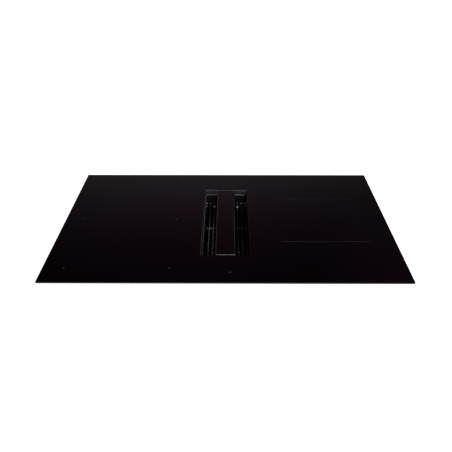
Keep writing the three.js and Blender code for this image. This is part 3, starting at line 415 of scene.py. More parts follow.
def add_piece(name, mesh, body, slot, replaces=(), finish=None):
    """Links a mesh as a piece that rides on a body and takes its finish from a slot."""
    piece = bpy.data.objects.new(name, mesh)
    bpy.context.scene.collection.objects.link(piece)
    mesh.materials.clear()
    mesh.materials.append(finish_of(finish or slot))
    mesh.shade_smooth()
    mesh.set_sharp_from_angle(angle=SMOOTH_EDGE)
    piece.modifiers.new("flat_faces", "WEIGHTED_NORMAL").keep_sharp = True
    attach(piece, body)
    if replaces:
        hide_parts(*replaces)


def mesh_from(name, build):
    """A mesh filled by a function that works on a bmesh."""
    mesh = bpy.data.meshes.new(name)
    work = bmesh.new()
    build(work)
    bmesh.ops.remove_doubles(work, verts=work.verts, dist=SAME_POINT)
    bmesh.ops.recalc_face_normals(work, faces=work.faces)
    work.to_mesh(mesh)
    work.free()
    return mesh


def bar(work, lo, hi, bevel=0.0, segments=2):
    """Adds a box between two corners, with its edges rounded if asked."""
    made = bmesh.ops.create_cube(work, size=1.0)
    lo, hi = Vector(lo), Vector(hi)
    matrix = Matrix.Translation((lo + hi) / 2) @ Matrix.Diagonal((*(hi - lo), 1.0))
    bmesh.ops.transform(work, matrix=matrix, verts=made["verts"])
    if bevel:
        edges = list({edge for vert in made["verts"] for edge in vert.link_edges})
        bmesh.ops.bevel(work, geom=edges, offset=bevel, segments=segments, affect="EDGES", profile=0.5)


def ring(lo, hi, corner, steps, profile):
    """Sweeps a closed profile of (inset, height) points round a rectangle with round corners."""

    def build(work):
        rows = []
        for inset, z in profile:
            points = loop_points(lo, hi, corner, steps, inset, z)
            rows.append([work.verts.new(point) for point in points])
        for row, above in zip(rows, rows[1:] + rows[:1]):
            for corners in zip(row, row[1:] + row[:1], above[1:] + above[:1], above):
                face = []
                for vert in corners:
                    if all((vert.co - other.co).length > SAME_POINT / 10 for other in face):
                        face.append(vert)
                if len(face) > 2:
                    work.faces.new(face)

    return build


def loop_points(lo, hi, corner, steps, inset, z):
    """Points round a rectangle with round corners, drawn in by an inset."""
    x_low, x_high, y_low, y_high = lo.x + corner, hi.x - corner, lo.y + corner, hi.y - corner
    centres = ((x_high, y_high), (x_low, y_high), (x_low, y_low), (x_high, y_low))
    radius = corner - inset
    points = []
    for turn, (x, y) in enumerate(centres):
        for i in range(steps + 1):
            share, reach = (i / steps, radius) if radius > 0 else (0.5, radius * math.sqrt(2))
            angle = (turn + share) * math.pi / 2
            points.append(Vector((x + reach * math.cos(angle), y + reach * math.sin(angle), z)))
    return points


def copy_of(node, name, bevel):
    """A merged copy of a CAD node's mesh, with its sharp edges rounded."""
    mesh = bpy.data.meshes.new(name)
    work = bmesh.new()
    work.from_mesh(frame["nodes"][node].data)
    bmesh.ops.remove_doubles(work, verts=work.verts, dist=2 * SAME_POINT)
    bmesh.ops.dissolve_limit(
        work, angle_limit=FLAT_EDGE, verts=work.verts, edges=work.edges,
        use_dissolve_boundaries=False,
    )
    sharp = [
        edge for edge in work.edges
        if len(edge.link_faces) == 2 and edge.calc_face_angle(0) > SHARP_EDGE
    ]
    bmesh.ops.bevel(work, geom=sharp, offset=bevel, segments=2, affect="EDGES", clamp_overlap=True)
    bmesh.ops.triangulate(work, faces=work.faces)
    work.to_mesh(mesh)
    work.free()
    return mesh


def soften(bevel, *nodes, finish=None):
    """Merged copies of CAD nodes with rounded edges, in place of the nodes."""
    for node in nodes:
        mesh = copy_of(node, node + "_form", bevel)
        add_piece(node + "_form", mesh, BODY_OF[node], SLOT_OF[node], [node], finish)


def both_sides(*names):
    return [f"{name}_{side}" for name in names for _, side in MIRROR]


def corner_places(lo, hi, inset, level):
    """Four places at a level, drawn in from a box's corners."""
    return [(x, y, level) for x in (lo.x + inset, hi.x - inset) for y in (lo.y + inset, hi.y - inset)]


def spread(first, last, pitch):
    """Even places between two ends, no further apart than a pitch."""
    count = max(1, math.ceil((last - first) / pitch))
    return [first + (last - first) * i / count for i in range(count + 1)]


class Pattern(Nodes):
    """A Geometry Nodes tree with named sizes, which makes what repeats."""

    def __init__(self, name, **sizes):
        tree = bpy.data.node_groups.new(name, "GeometryNodeTree")
        super().__init__(tree)
        for way in ("INPUT", "OUTPUT"):
            tree.interface.new_socket("Geometry", in_out=way, socket_type="NodeSocketGeometry")
        self.keys = {}
        self.sizes = sizes
        for size, value in sizes.items():
            kind = "NodeSocketInt" if isinstance(value, int) else "NodeSocketFloat"
            socket = tree.interface.new_socket(size, in_out="INPUT", socket_type=kind)
            self.keys[size] = socket.identifier
        self.entry = self.add("NodeGroupInput")
        self.exit = self.add("NodeGroupOutput")

    def __getitem__(self, size):
        return Number(self, self.entry.outputs[size])

    def vector(self, x=0.0, y=0.0, z=0.0):
        return self.made("ShaderNodeCombineXYZ", {0: x, 1: y, 2: z})

    def place(self):
        """The coordinates of a point on the geometry."""
        return self.parts(self.made("GeometryNodeInputPosition"))

    def cone(self, sides, foot, top, height, lift=0.0):
        """A cone or prism that stands on the origin's level, or is lifted off it."""
        values = {"Vertices": sides, "Radius Top": top, "Radius Bottom": foot, "Depth": height}
        return self.moved(self.made("GeometryNodeMeshCone", values), z=lift)

    def block(self, width, depth, height):
        """A box that stands on the origin's level."""
        cube = self.made("GeometryNodeMeshCube", {"Size": self.vector(width, depth, height)})
        return self.moved(cube, z=height / 2)

    def line(self, start, end, count):
        """A straight curve with a number of points."""
        run = self.made("GeometryNodeCurvePrimitiveLine", {"Start": start, "End": end})
        return self.made("GeometryNodeResampleCurve", {"Curve": run, "Count": count})

    def circle(self, sides, radius):
        return self.made("GeometryNodeCurvePrimitiveCircle", {"Resolution": sides, "Radius": radius})

    def section(self, width, height, radius, count):
        """A rectangle with round corners, to sweep along a curve."""
        sharp = self.made("GeometryNodeCurvePrimitiveQuadrilateral", {"Width": width, "Height": height})
        values = {"Curve": sharp, "Radius": radius, "Count": count}
        return self.made("GeometryNodeFilletCurve", values, mode="POLY")

    def swept(self, curve, section):
        values = {"Curve": curve, "Profile Curve": section, "Fill Caps": True}
        return self.made("GeometryNodeCurveToMesh", values)

    def shifted(self, geometry, *offset, **named):
        """Geometry whose points each move by their own offset."""
        values = {"Geometry": geometry, "Offset": self.vector(*offset, **named)}
        return self.made("GeometryNodeSetPosition", values)

    def moved(self, geometry, **place):
        values = {"Geometry": geometry, "Translation": self.vector(**place)}
        return self.made("GeometryNodeTransform", values)

    def stretched(self, geometry, *scale):
        values = {"Geometry": geometry, "Scale": self.vector(*scale)}
        return self.made("GeometryNodeTransform", values)

    def joined(self, *parts):
        both = self.add("GeometryNodeJoinGeometry")
        for part in reversed(parts):
            self.tree.links.new(part, both.inputs[0])
        return both.outputs[0]

    def at_points(self, geometry, points=None, turn=(0.0, 0.0, 0.0)):
        """One of the geometry at each given point, or at each point of the seed mesh."""
        points = points or self.entry.outputs["Geometry"]
        values = {"Points": points, "Instance": geometry, "Rotation": turn}
        return self.made("GeometryNodeInstanceOnPoints", values)

    def end(self, geometry, slot, turn=(0.0, 0.0, 0.0)):
        """Sets the geometry at the seed's points, and gives it a finish."""
        real = self.made("GeometryNodeRealizeInstances", {0: self.at_points(geometry, turn=turn)})
        values = {"Geometry": real, "Material": finish_of(slot)}
        self.feed(self.exit.inputs[0], self.made("GeometryNodeSetMaterial", values))
        return self

    def grow(self, name, points, body, slot, replaces=(), finish=None, **sizes):
        """Runs the tree on a mesh of points and links the result as a plain piece."""
        seed = bpy.data.meshes.new(name + "_points")
        seed.from_pydata([tuple(point) for point in points], [], [])
        holder = bpy.data.objects.new(name + "_points", seed)
        bpy.context.scene.collection.objects.link(holder)
        modifier = holder.modifiers.new("pattern", "NODES")
        modifier.node_group = self.tree
        for size, value in {**self.sizes, **sizes}.items():
            modifier[self.keys[size]] = value
        depsgraph = bpy.context.evaluated_depsgraph_get()
        mesh = bpy.data.meshes.new_from_object(holder.evaluated_get(depsgraph), depsgraph=depsgraph)
        bpy.data.objects.remove(holder)
        add_piece(name, mesh, body, slot, replaces, finish)


# ---- sizes and colours that a user would change --------------------------------------


def length(name, description, default):
    return FloatProperty(name=name, description=description, default=default, unit="LENGTH")


def turn(name, description, degrees):
    return FloatProperty(name=name, description=description, default=math.radians(degrees), unit="ROTATION")


def colour(name, description, default):
    return FloatVectorProperty(name=name, description=description, default=default, subtype="COLOR")


class CooktopColours(bpy.types.PropertyGroup):
    """Colours of the glass, its print, and the painted light on the slot's far edge."""

    glass: colour("Glass", "Colour of the black glass", (0.0007, 0.0004, 0.0006))
    # The far ground edge is partly its own grey and partly painted light. The arris colour is a painted
    # highlight.
    ground_edge: colour("Slot edge", "Colour of the slot's far ground edge", (0.022, 0.02, 0.021))
    arris: colour("Slot arris", "Colour of the arris along the slot's far side", (0.4, 0.38, 0.39))
    print_grey: colour("Print", "Colour of the printed marks", (0.16, 0.155, 0.16))


class CooktopGlass(bpy.types.PropertyGroup):
    """The glass's printed marks and its slot edge."""

    slot_wall: length("Well wall", "Wall of the air well round the slot", 0.0025)
    slot_edge: length("Ground width", "Width of the ground edge along the slot's far side", 0.0002)
    mark_length: length("Cross", "Length of a cross's arms", 0.0062)
    mark_line: length("Line", "Width of a printed line", 0.0008)
    print_height: length("Print height", "Thickness of the print", 0.00004)
    zone_outer: length("Outer column", "X of the outer marks, from the middle", 0.366)
    zone_inner: length("Inner column", "X of the inner marks, from the middle", 0.127)
    zone_middle: length("Middle row", "Y of the middle marks", 0.0045)
    zone_half: length("Row pitch", "From the middle marks to the end marks", 0.2115)
    line_x: length("Line centre", "X of the right zones' centres", 0.247)
    line_y: length("Line middle", "Y midway between the right zones' lines", 0.0062)
    line_pitch: length("Line pitch", "Between the right zones' lines", 0.2112)
    line_length: length("Line length", "Length of a right zone's line", 0.212)
    line_width: length("Line width", "Width of a right zone's line", 0.0004)
    key_x: length("Key X", "X of the control mark", 0.0105)
    key_y: length("Key Y", "Y of the control mark", -0.2232)
    key_size: length("Key size", "Diameter of the control mark", 0.0058)


class CooktopFilter(bpy.types.PropertyGroup):
    """The basket of the grease filter and its ribs."""

    wall: length("Wall", "Sheet of the basket", 0.0012)
    corner: length("Corner", "Radius of the corners", 0.004)
    bead: length("Bead", "Radius of the rolled rim", 0.0014)
    edging: length("Edging", "Width of the mesh's edging", 0.003)
    rib_pitch: length("Rib pitch", "Between two ribs", 0.0108)
    rib_pairs: IntProperty(name="Rib pairs", description="Ribs each side of the middle one", default=5)
    rib_width: length("Rib width", "Thickness of a rib", 0.0022)
    rib_height: length("Rib height", "Height of a rib", 0.006)
    wave: length("Wave", "Swing of a rib to each side", 0.0006)
    wave_pitch: length("Wave pitch", "Length of one wave", 0.018)
    rivet: length("Rivet", "Radius of a rivet's head", 0.0024)
    rivet_first: length("Rivet row", "From the middle to the outer rivets", 0.131)
    detent: length("Detent", "Radius of a detent", 0.0034)
    detent_reach: length("Detent reach", "From the middle to a detent", 0.075)
    crossbar: length("Crossbar", "Width and height of the crossbar", 0.0032)
    crossbar_rise: length("Crossbar rise", "From the ribs' tops to the crossbar's", 0.0005)
    strip_height: length("Strip height", "From the grate's foot to a strip's top", 0.003)
    strip_inset: length("Strip inset", "From a rib's end to an end strip", 0.003)
    wire: length("Wire", "Radius of a mesh wire", 0.0005)
    wire_pitch: length("Wire pitch", "Between two wires", 0.0052)


class CooktopCasing(bpy.types.PropertyGroup):
    """Fasteners, beads, windings and board parts below the glass."""

    sheet_bevel: length("Sheet edge", "Rounding of a sheet's edges", 0.0004)
    moulding_bevel: length("Moulding edge", "Rounding of a moulding's edges", 0.0008)
    screw: length("Screw", "Radius of a screw's washer", 0.0045)
    screw_pitch: length("Screw pitch", "Most between two screws", 0.09)
    screw_inset: length("Screw inset", "From a corner to the first screw", 0.012)
    bead_width: length("Bead width", "Half the width of a pressed bead", 0.005)
    bead_rise: length("Bead rise", "How far a pressed bead stands proud", 0.0009)
    bead_pitch: length("Bead pitch", "Between two pressed beads", 0.04)
    turns: IntProperty(name="Turns", description="Turns of a coil", default=19)
    coil_eye: length("Coil eye", "Radius of a coil's inmost turn", 0.0255)
    litz: length("Litz wire", "Width of a coil's wire", 0.0036)
    thread_pitch: length("Thread pitch", "Pitch of a clamp screw's thread", 0.001)
    thread_depth: length("Thread depth", "Depth of a clamp screw's thread", 0.0005)
    can_radius: length("Capacitor", "Radius of a capacitor", 0.011)
    can_height: length("Capacitor height", "Height of a capacitor", 0.03)
    can_pitch: length("Capacitor pitch", "Between two capacitors", 0.028)
    relay_pitch: length("Relay pitch", "Between two relays", 0.06)
    choke_reach: length("Choke", "From a board's middle to a choke", 0.142)


class CooktopStage(bpy.types.PropertyGroup):
    """The stage: a pale worktop panel, a floor and the camera."""

    floor: length("Floor", "Level of the floor", -0.06)
    panel: length("Panel", "Thickness of the worktop", 0.004)
    front: length("Front", "Worktop in front of the glass", 0.145)
    left: length("Left", "Worktop left of the glass", 0.008)
    right: length("Right", "Worktop right of the glass", 0.09)
    rear: length("Rear", "Worktop behind the glass", 0.008)
    land: length("Land", "Worktop under the glass's rim", 0.024)
    lens: FloatProperty(name="Lens", description="Focal length in millimetres", default=42.01)
    pitch: turn("Pitch", "Camera's look down", 32.173)
    yaw: turn("Yaw", "Camera's turn to the left", 0.299)
    roll: turn("Roll", "Camera's lean", -0.066)
    place: FloatVectorProperty(
        name="Camera", description="Place of the camera", subtype="XYZ", unit="LENGTH",
        default=(0.00705, -1.16609, 0.92536),
    )


# ---- stage ---------------------------------------------------------------------------


class COOKTOP_OT_stage(bpy.types.Operator):
    """Floor, worktop panel, light and camera"""

    bl_idname = "cooktop.stage"
    bl_label = "Stage"

    def execute(self, context):
        stage = context.scene.cooktop_stage
        make_surfaces(stage)
        make_world(context.scene)
        make_lights()
        make_camera(context.scene, stage)
        return {"FINISHED"}


def make_surfaces(stage):
    """The floor, and a thin worktop with a cut-out, which hides the casing from the camera."""
    finish = Finish(
        "stage_white", Roughness=0.8, Specular_IOR_Level=0.1, Emission_Color=(1.0,) * 4,
        Emission_Strength=1.2)
    finish.set(Base_Color=finish.blend(finish.noise(3.0), 0.88, 0.92))
    lo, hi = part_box("glass_top")
    left, right = lo.x - stage.left, hi.x + stage.right
    front, rear = lo.y - stage.front, hi.y + stage.rear
    cut_left, cut_right = lo.x + stage.land, hi.x - stage.land
    cut_front, cut_rear = lo.y + stage.land / 2, hi.y - stage.land / 2
    clearance = 0.0001
    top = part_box("rim_seal")[0].z - clearance
    base = top - stage.panel
    reach = 8.0

    def floor(work):
        corners = ((-reach, -reach), (reach, -reach), (reach, reach), (-reach, reach))
        work.faces.new([work.verts.new((x, y, stage.floor)) for x, y in corners])

    def worktop(work):
        bar(work, (left, front, base), (right, cut_front, top))
        bar(work, (left, cut_rear, base), (right, rear, top))
        bar(work, (left, cut_front, base), (cut_left, cut_rear, top))
        bar(work, (cut_right, cut_front, base), (right, cut_rear, top))

    for build in (floor, worktop):
        piece = bpy.data.objects.new(build.__name__, mesh_from(build.__name__, build))
        piece.data.materials.append(finish.material)
        bpy.context.scene.collection.objects.link(piece)


def make_world(scene):
    """White to the camera. Reflections fade from the horizon upwards, and come from the back and right."""
    world = bpy.data.worlds.new("studio")
    world.use_nodes = True
    scene.world = world
    nodes = Nodes(world.node_tree)
    background = world.node_tree.nodes["Background"]
    across, ahead, up = nodes.parts(nodes.add("ShaderNodeTexCoord").outputs["Generated"])
    horizon = 0.21
    fall = ((up - horizon) * -9.4).maths("EXPONENT") * 1.42
    rear = ((ahead - 0.4) * 3.0).most(0.0).least(1.0)
    left = (1 - (-across).most(0.0) ** 2 * 5.0).most(0.1)
    right = (1 - across.most(0.0) * 2.1).most(0.3)
    glow = (across - 0.17).most(0.0) * (up - 0.47).most(0.0) * 2.5
    beside = across.most(0.0) * 0.6 + 0.06
    low = (up * 4.0 + 0.9).most(0.3).least(1.0)
    sky = fall.least(1.3) * low * (rear * left * right + (1 - rear) * beside) + glow
    height = ((up - 0.38) / 0.24).most(0.0).least(1.0)
    tint = nodes.blend(height, (1.0, 0.98, 0.93), (1.0, 0.36, 0.84))
    ray = nodes.add("ShaderNodeLightPath").outputs
    camera = Number(nodes, ray["Is Camera Ray"])
    glossy = Number(nodes, ray["Is Glossy Ray"])
    other = (1 - camera - glossy).most(0.0)
    nodes.feed(background.inputs["Strength"], glossy * sky + camera + other * 0.08)
    nodes.feed(background.inputs["Color"], nodes.blend(glossy, 1.0, tint))


def add_lamp(name, kind, place, aim, **settings):
    lamp = bpy.data.lights.new(name, kind)
    for setting, value in settings.items():
        setattr(lamp, setting, value)
    holder = bpy.data.objects.new(name, lamp)
    holder.location = place
    holder.rotation_euler = (Vector(aim) - Vector(place)).to_track_quat("-Z", "Y").to_euler()
    bpy.context.scene.collection.objects.link(holder)


def make_lights():
    """Two low soft lamps, from the front and the right, and a narrow one along the slot's ribs."""
    soft = {"shape": "DISK"}
    add_lamp("front_light", "AREA", (0.08, -2.2, 0.53), (0, 0, 0.19), size=0.36, energy=20.0, **soft)
    add_lamp("side_light", "AREA", (2.0, -0.3, 0.83), (0, 0, 0.18), size=0.7, energy=4.0, **soft)
    add_lamp(
        "slot_light", "SPOT", (2.0, -0.15, 0.76), (-0.045, -0.075, 0.185), energy=90.0,
        spot_size=math.radians(10.0), spot_blend=0.6, shadow_soft_size=0.1)


def make_camera(scene, stage):
    """The camera of the photograph's view."""
    right = Vector((math.cos(stage.yaw), math.sin(stage.yaw), 0.0))
    level = Vector((-math.sin(stage.yaw), math.cos(stage.yaw), 0.0))
    down = Vector((0.0, 0.0, -1.0))
    ahead = level * math.cos(stage.pitch) + down * math.sin(stage.pitch)
    up = right.cross(ahead)
    lean_right = right * math.cos(stage.roll) + up * math.sin(stage.roll)
    lean_up = up * math.cos(stage.roll) - right * math.sin(stage.roll)
    camera = bpy.data.objects.new("camera", bpy.data.cameras.new("camera"))
    camera.data.lens = stage.lens
    camera.data.sensor_width = 36.0
    camera.data.clip_start = 0.05
    turned = Matrix((lean_right, lean_up, -ahead)).transposed().to_4x4()
    camera.matrix_world = Matrix.Translation(Vector(stage.place)) @ turned
    scene.collection.objects.link(camera)
    scene.camera = camera
    scene.view_settings.view_transform = "Standard"


# ---- glass and flap ------------------------------------------------------------------


class COOKTOP_OT_glass(bpy.types.Operator):
    """Glass, with its printed marks"""

    bl_idname = "cooktop.glass"
    bl_label = "Glass"

    def execute(self, context):
        sizes = context.scene.cooktop_glass
        dress("glass_top", "flap_glass", "rim_seal")
        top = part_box("glass_top")[1].z
        rows = [sizes.zone_middle + step * sizes.zone_half for step in (-1, 0, 1)]
        left = [(-x, y, top) for y in rows for x in (sizes.zone_outer, sizes.zone_inner)]
        right = [(sizes.line_x, sizes.line_y + side * sizes.line_pitch / 2, top) for side in (-1, 1)]
        make_crosses("zone_crosses", left, sizes.mark_length, sizes.mark_line, sizes.print_height)
        make_crosses("line_crosses", right, sizes.mark_length * 0.7, sizes.line_width, sizes.print_height)

        def build(work):
            half = Vector((sizes.line_length / 2, sizes.line_width / 2, 0))
            for base in map(Vector, right):
                bar(work, base - half, base + half + Vector((0, 0, sizes.print_height)))
            key_mark(work, sizes, top)

        mesh = mesh_from("printed_lines", build)
        add_piece("printed_lines", mesh, "cooktop", "black_glass", finish="print_grey")
        return {"FINISHED"}


def make_crosses(name, points, arm, line, height):
    """Two crossed bars at every point."""
    pattern = Pattern(name, Length=arm, Line=line, Height=height)
    bars = [
        pattern.block(pattern[width], pattern[depth], pattern["Height"])
        for width, depth in (("Length", "Line"), ("Line", "Length"))
    ]
    pattern.end(pattern.joined(*bars), "print_grey")
    pattern.grow(name, points, "cooktop", "black_glass", finish="print_grey")


def key_mark(work, sizes, top):
    """A plain on-off mark: an open ring with a stroke in its gap."""
    radius = sizes.key_size / 2
    half = sizes.mark_line / 2
    gap = math.radians(35)
    steps = 20
    base = Vector((sizes.key_x, sizes.key_y, top))
    lift = Vector((0, 0, sizes.print_height))
    rings = []
    for i in range(steps + 1):
        angle = math.pi / 2 + gap + (FULL_TURN - 2 * gap) * i / steps
        around = Vector((math.cos(angle), math.sin(angle), 0))
        inner = base + around * (radius - 2 * half)
        outer = base + around * radius
        rings.append([work.verts.new(p) for p in (inner, outer, outer + lift, inner + lift)])
    for a, b in zip(rings, rings[1:]):
        for i in range(4):
            j = (i + 1) % 4
            work.faces.new((a[i], a[j], b[j], b[i]))
    work.faces.new(rings[0])
    work.faces.new(rings[-1])
    foot = base + Vector((-half, 0.1 * radius, 0))
    bar(work, foot, base + lift + Vector((half, 1.15 * radius, 0)))


class COOKTOP_OT_flap(bpy.types.Operator):
    """Lift-off flap"""

    bl_idname = "cooktop.flap"
    bl_label = "Flap"

    def execute(self, context):
        dress("flap_foot_front", "flap_foot_rear")
        edge = 0.00035
        add_piece("flap_rim", copy_of("flap_frame", "flap_rim", edge), "flap", "anodised", ["flap_frame"])
        return {"FINISHED"}


# ---- grease filter -------------------------------------------------------------------


class COOKTOP_OT_filter(bpy.types.Operator):
    """Grease filter: basket, grate, rivets, detents and mesh pack"""

    bl_idname = "cooktop.filter"
    bl_label = "Grease filter"

    def execute(self, context):
        sizes = context.scene.cooktop_filter
        make_basket(sizes)
        make_grate(sizes)
        make_domes(sizes)
        make_pack(sizes)
        return {"FINISHED"}


def make_basket(sizes):
    """Four walls with a rolled rim."""
    lo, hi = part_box("filter_frame")
    bead = sizes.bead
    centre = hi.z - bead
    profile = [(0.0, lo.z), (0.0, centre - bead)]
    steps = 10
    for i in range(steps + 1):
        angle = math.pi - math.radians(270) * i / steps
        profile.append((bead + bead * math.cos(angle), centre + bead * math.sin(angle)))
    profile += [(sizes.wall, centre - bead), (sizes.wall, lo.z)]
    mesh = mesh_from("filter_basket", ring(lo, hi, sizes.corner, 5, profile))
    add_piece("filter_basket", mesh, "filter", "filter_steel", ["filter_frame"], "basket_steel")


def make_grate(sizes):
    """Wavy ribs along the basket, on a crossbar and two end strips."""
    lo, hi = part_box("filter_grate")
    pattern = Pattern(
        "wavy_rib", Length=hi.y - lo.y, Width=sizes.rib_width, Height=sizes.rib_height,
        Swing=sizes.wave, Wave=sizes.wave_pitch, Steps=180)
    fine = pattern.line((0, 0, 0), pattern.vector(y=pattern["Length"]), pattern["Steps"])
    _, along, _ = pattern.place()
    swing = (along * FULL_TURN / pattern["Wave"]).sine() * pattern["Swing"]
    section = pattern.section(pattern["Width"], pattern["Height"], pattern["Width"] * 0.45, 3)
    pattern.end(pattern.swept(pattern.shifted(fine, x=swing), section), "filter_steel")
    level = hi.z - sizes.crossbar_rise - sizes.rib_height / 2
    steps = range(-sizes.rib_pairs, sizes.rib_pairs + 1)
    points = [(step * sizes.rib_pitch, lo.y, level) for step in steps]
    pattern.grow("filter_ribs", points, "filter", "filter_steel", ["filter_grate"])

    def build(work):
        middle = (lo.y + hi.y) / 2
        half = sizes.crossbar / 2
        rounding, strip_rounding = 0.0009, 0.0005
        near = (lo.x, middle - half, hi.z - sizes.crossbar)
        bar(work, near, (hi.x, middle + half, hi.z), rounding, 3)
        clearance = 0.001
        foot = lo.z + clearance
        top = lo.z + sizes.strip_height
        for near in (lo.y + sizes.strip_inset, hi.y - sizes.strip_inset - sizes.crossbar):
            bar(work, (lo.x, near, foot), (hi.x, near + sizes.crossbar, top), strip_rounding)

    add_piece("filter_crossbars", mesh_from("filter_crossbars", build), "filter", "filter_steel")


def make_domes(sizes):
    """Round rivet heads at the ribs' ends, the widest beside the walls, and detents on the walls."""
    pattern = Pattern("dome", Radius=sizes.rivet, Stretch=1.0)
    values = {"Segments": 16, "Rings": 10, "Radius": pattern["Radius"]}
    ball = pattern.made("GeometryNodeMeshUVSphere", values)
    pattern.end(pattern.stretched(ball, pattern["Stretch"], 1.0, 1.0), "rivet_steel")
    lo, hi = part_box("filter_grate")
    middle = (lo.y + hi.y) / 2
    sunk = 0.0002
    level = hi.z - sizes.crossbar_rise - sunk
    # Each group has its rib, and for each of its rows the row, the share of the radius and the stretch.
    groups = {
        "wide": (5, ((0, 0.95, 1.9), (1, 0.65, 1.9))),
        "small": (4, ((0, 1.05, 1.0), (1, 0.7, 1.0))),
        "inner": (3, ((0, 0.95, 1.2), (1, 1.6, 1.1), (2, 0.6, 1.0))),
        "hidden": (2, ((0, 0.85, 1.0), (1, 0.85, 1.0))),
    }
    domes = []
    for name, (rib, rows) in groups.items():
        for row, share, stretch in rows:
            reach = sizes.rivet_first - row * sizes.wave_pitch
            place = (rib * sizes.rib_pitch, reach, level)
            domes.append((f"rivets_{name}_{row + 1}", place, sizes.rivet * share, stretch))
    lo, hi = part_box("filter_frame")
    place = (hi.x - sizes.wall, sizes.detent_reach, hi.z - 2 * sizes.bead - sizes.detent)
    domes.append(("filter_detents", place, sizes.detent, 0.6))
    for name, (x, y, z), radius, stretch in domes:
        points = [(side * x, middle + end * y, z) for side in (-1, 1) for end in (-1, 1)]
        pattern.grow(
            name, points, "filter", "filter_steel", finish="rivet_steel", Radius=radius, Stretch=stretch)


def make_pack(sizes):
    """A pack of crossed wires, three layers deep, in a folded edging."""
    lo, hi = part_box("filter_mesh")
    middle = (lo + hi) / 2
    depth = (hi.z - lo.z) / 2 - 2.2 * sizes.wire
    points = [(middle.x, middle.y, middle.z + side * depth) for side in (-1, 0, 1)]
    wires = wire_pattern(sizes, hi.x - lo.x, hi.y - lo.y)
    wires.grow("mesh_pack", points, "filter", "filter_mesh", ["filter_mesh"])
    profile = [(0, lo.z), (0, hi.z), (sizes.edging, hi.z), (sizes.edging, lo.z)]
    mesh = mesh_from("mesh_edging", ring(lo, hi, sizes.corner / 2, 4, profile))
    add_piece("mesh_edging", mesh, "filter", "filter_mesh")


def wire_pattern(sizes, width, depth):
    """A woven grid of wires at every point, each wire going over and under the next."""
    pattern = Pattern("woven_wires", Width=width, Length=depth, Wire=sizes.wire, Pitch=sizes.wire_pitch)
    wire, pitch = pattern["Wire"], pattern["Pitch"]
    layers = []
    for axis, run, beside, room in ((0, "Width", "y", "Length"), (1, "Length", "x", "Width")):
        reach = pattern[run] - 4 * wire
        span = pattern[room] - 4 * wire
        ends = [pattern.vector(**{"xy"[axis]: reach * half}) for half in (-0.5, 0.5)]
        fine = pattern.line(*ends, (reach / pitch) * 2 + 1)
        wave = (pattern.place()[axis] * math.pi / pitch).sine() * wire
        tube = pattern.swept(pattern.shifted(fine, z=wave), pattern.circle(5, wire))
        first, last = (pattern.vector(**{beside: span * half}) for half in (-0.5, 0.5))
        values = {"Count": (span / pitch).floor() + 1, "Start Location": first, "Offset": last}
        rail = pattern.made("GeometryNodeMeshLine", values, mode="END_POINTS")
        layers.append(pattern.at_points(tube, rail))
    return pattern.end(pattern.joined(*layers), "filter_mesh")


# ---- casing --------------------------------------------------------------------------


@cache
def screw_pattern():
    """A hexagon head on its washer at every point, facing the way of a unit vector."""
    pattern = Pattern("hex_screw", Size=0.0045, Face_X=0.0, Face_Y=0.0, Face_Z=1.0)
    size = pattern["Size"]
    across = size * 0.66
    thickness = size * 0.24
    washer = pattern.cone(20, size, size * 0.94, thickness)
    head = pattern.cone(6, across, across, size * 0.5, thickness)
    crown = pattern.cone(6, across, size * 0.5, size * 0.1, size * 0.74)
    way = pattern.vector(*(pattern[f"Face_{axis}"] for axis in "XYZ"))
    turned = pattern.made("FunctionNodeAlignRotationToVector", {"Vector": way}, axis="Z")
    return pattern.end(pattern.joined(washer, head, crown), "screw_steel", turned)


def screws(name, points, face, size):
    faces = {f"Face_{axis}": float(value) for axis, value in zip("XYZ", face)}
    screw_pattern().grow(name, points, "cooktop", "screw_steel", Size=size, **faces)


@cache
def bead_pattern():
    """A pressed bead with closed ends at every point, along X, standing out downwards."""
    pattern = Pattern("pressed_bead", Length=0.2, Width=0.005, Rise=0.0009)
    half = pattern["Length"] / 2
    fine = pattern.line(pattern.vector(x=-half), pattern.vector(x=half), 24)
    along, _, _ = pattern.place()
    reach = ((half - abs(along)) / pattern["Width"]).least(1.0)
    taper = (1.02 - (1 - reach) * (1 - reach)).maths("SQRT")
    narrow = pattern.made("GeometryNodeSetCurveRadius", {"Curve": fine, "Radius": taper})
    tube = pattern.swept(narrow, pattern.circle(14, 1.0))
    pressed = pattern.stretched(tube, 1.0, pattern["Width"], pattern["Rise"])
    return pattern.end(pressed, "galvanised")


def beads(name, points, run, sizes):
    bead_pattern().grow(
        name, points, "cooktop", "galvanised", Length=run, Width=sizes.bead_width, Rise=sizes.bead_rise)


class COOKTOP_OT_sheet(bpy.types.Operator):
    """Sheet-metal casing: bays, plenum, deck, their beads and screws"""

    bl_idname = "cooktop.sheet"
    bl_label = "Sheet casing"

    def execute(self, context):
        sizes = context.scene.cooktop_casing
        soften(sizes.sheet_bevel, *both_sides("bay_tray"), "plenum_shell", "blower_deck")
        # The air well takes the darker copy of the black plastic, as painted shade.
        soften(sizes.moulding_bevel, "air_well", finish="well_black")
        for _, side in MIRROR:
            tray_details(sizes, side)
        plenum_details(sizes)
        return {"FINISHED"}


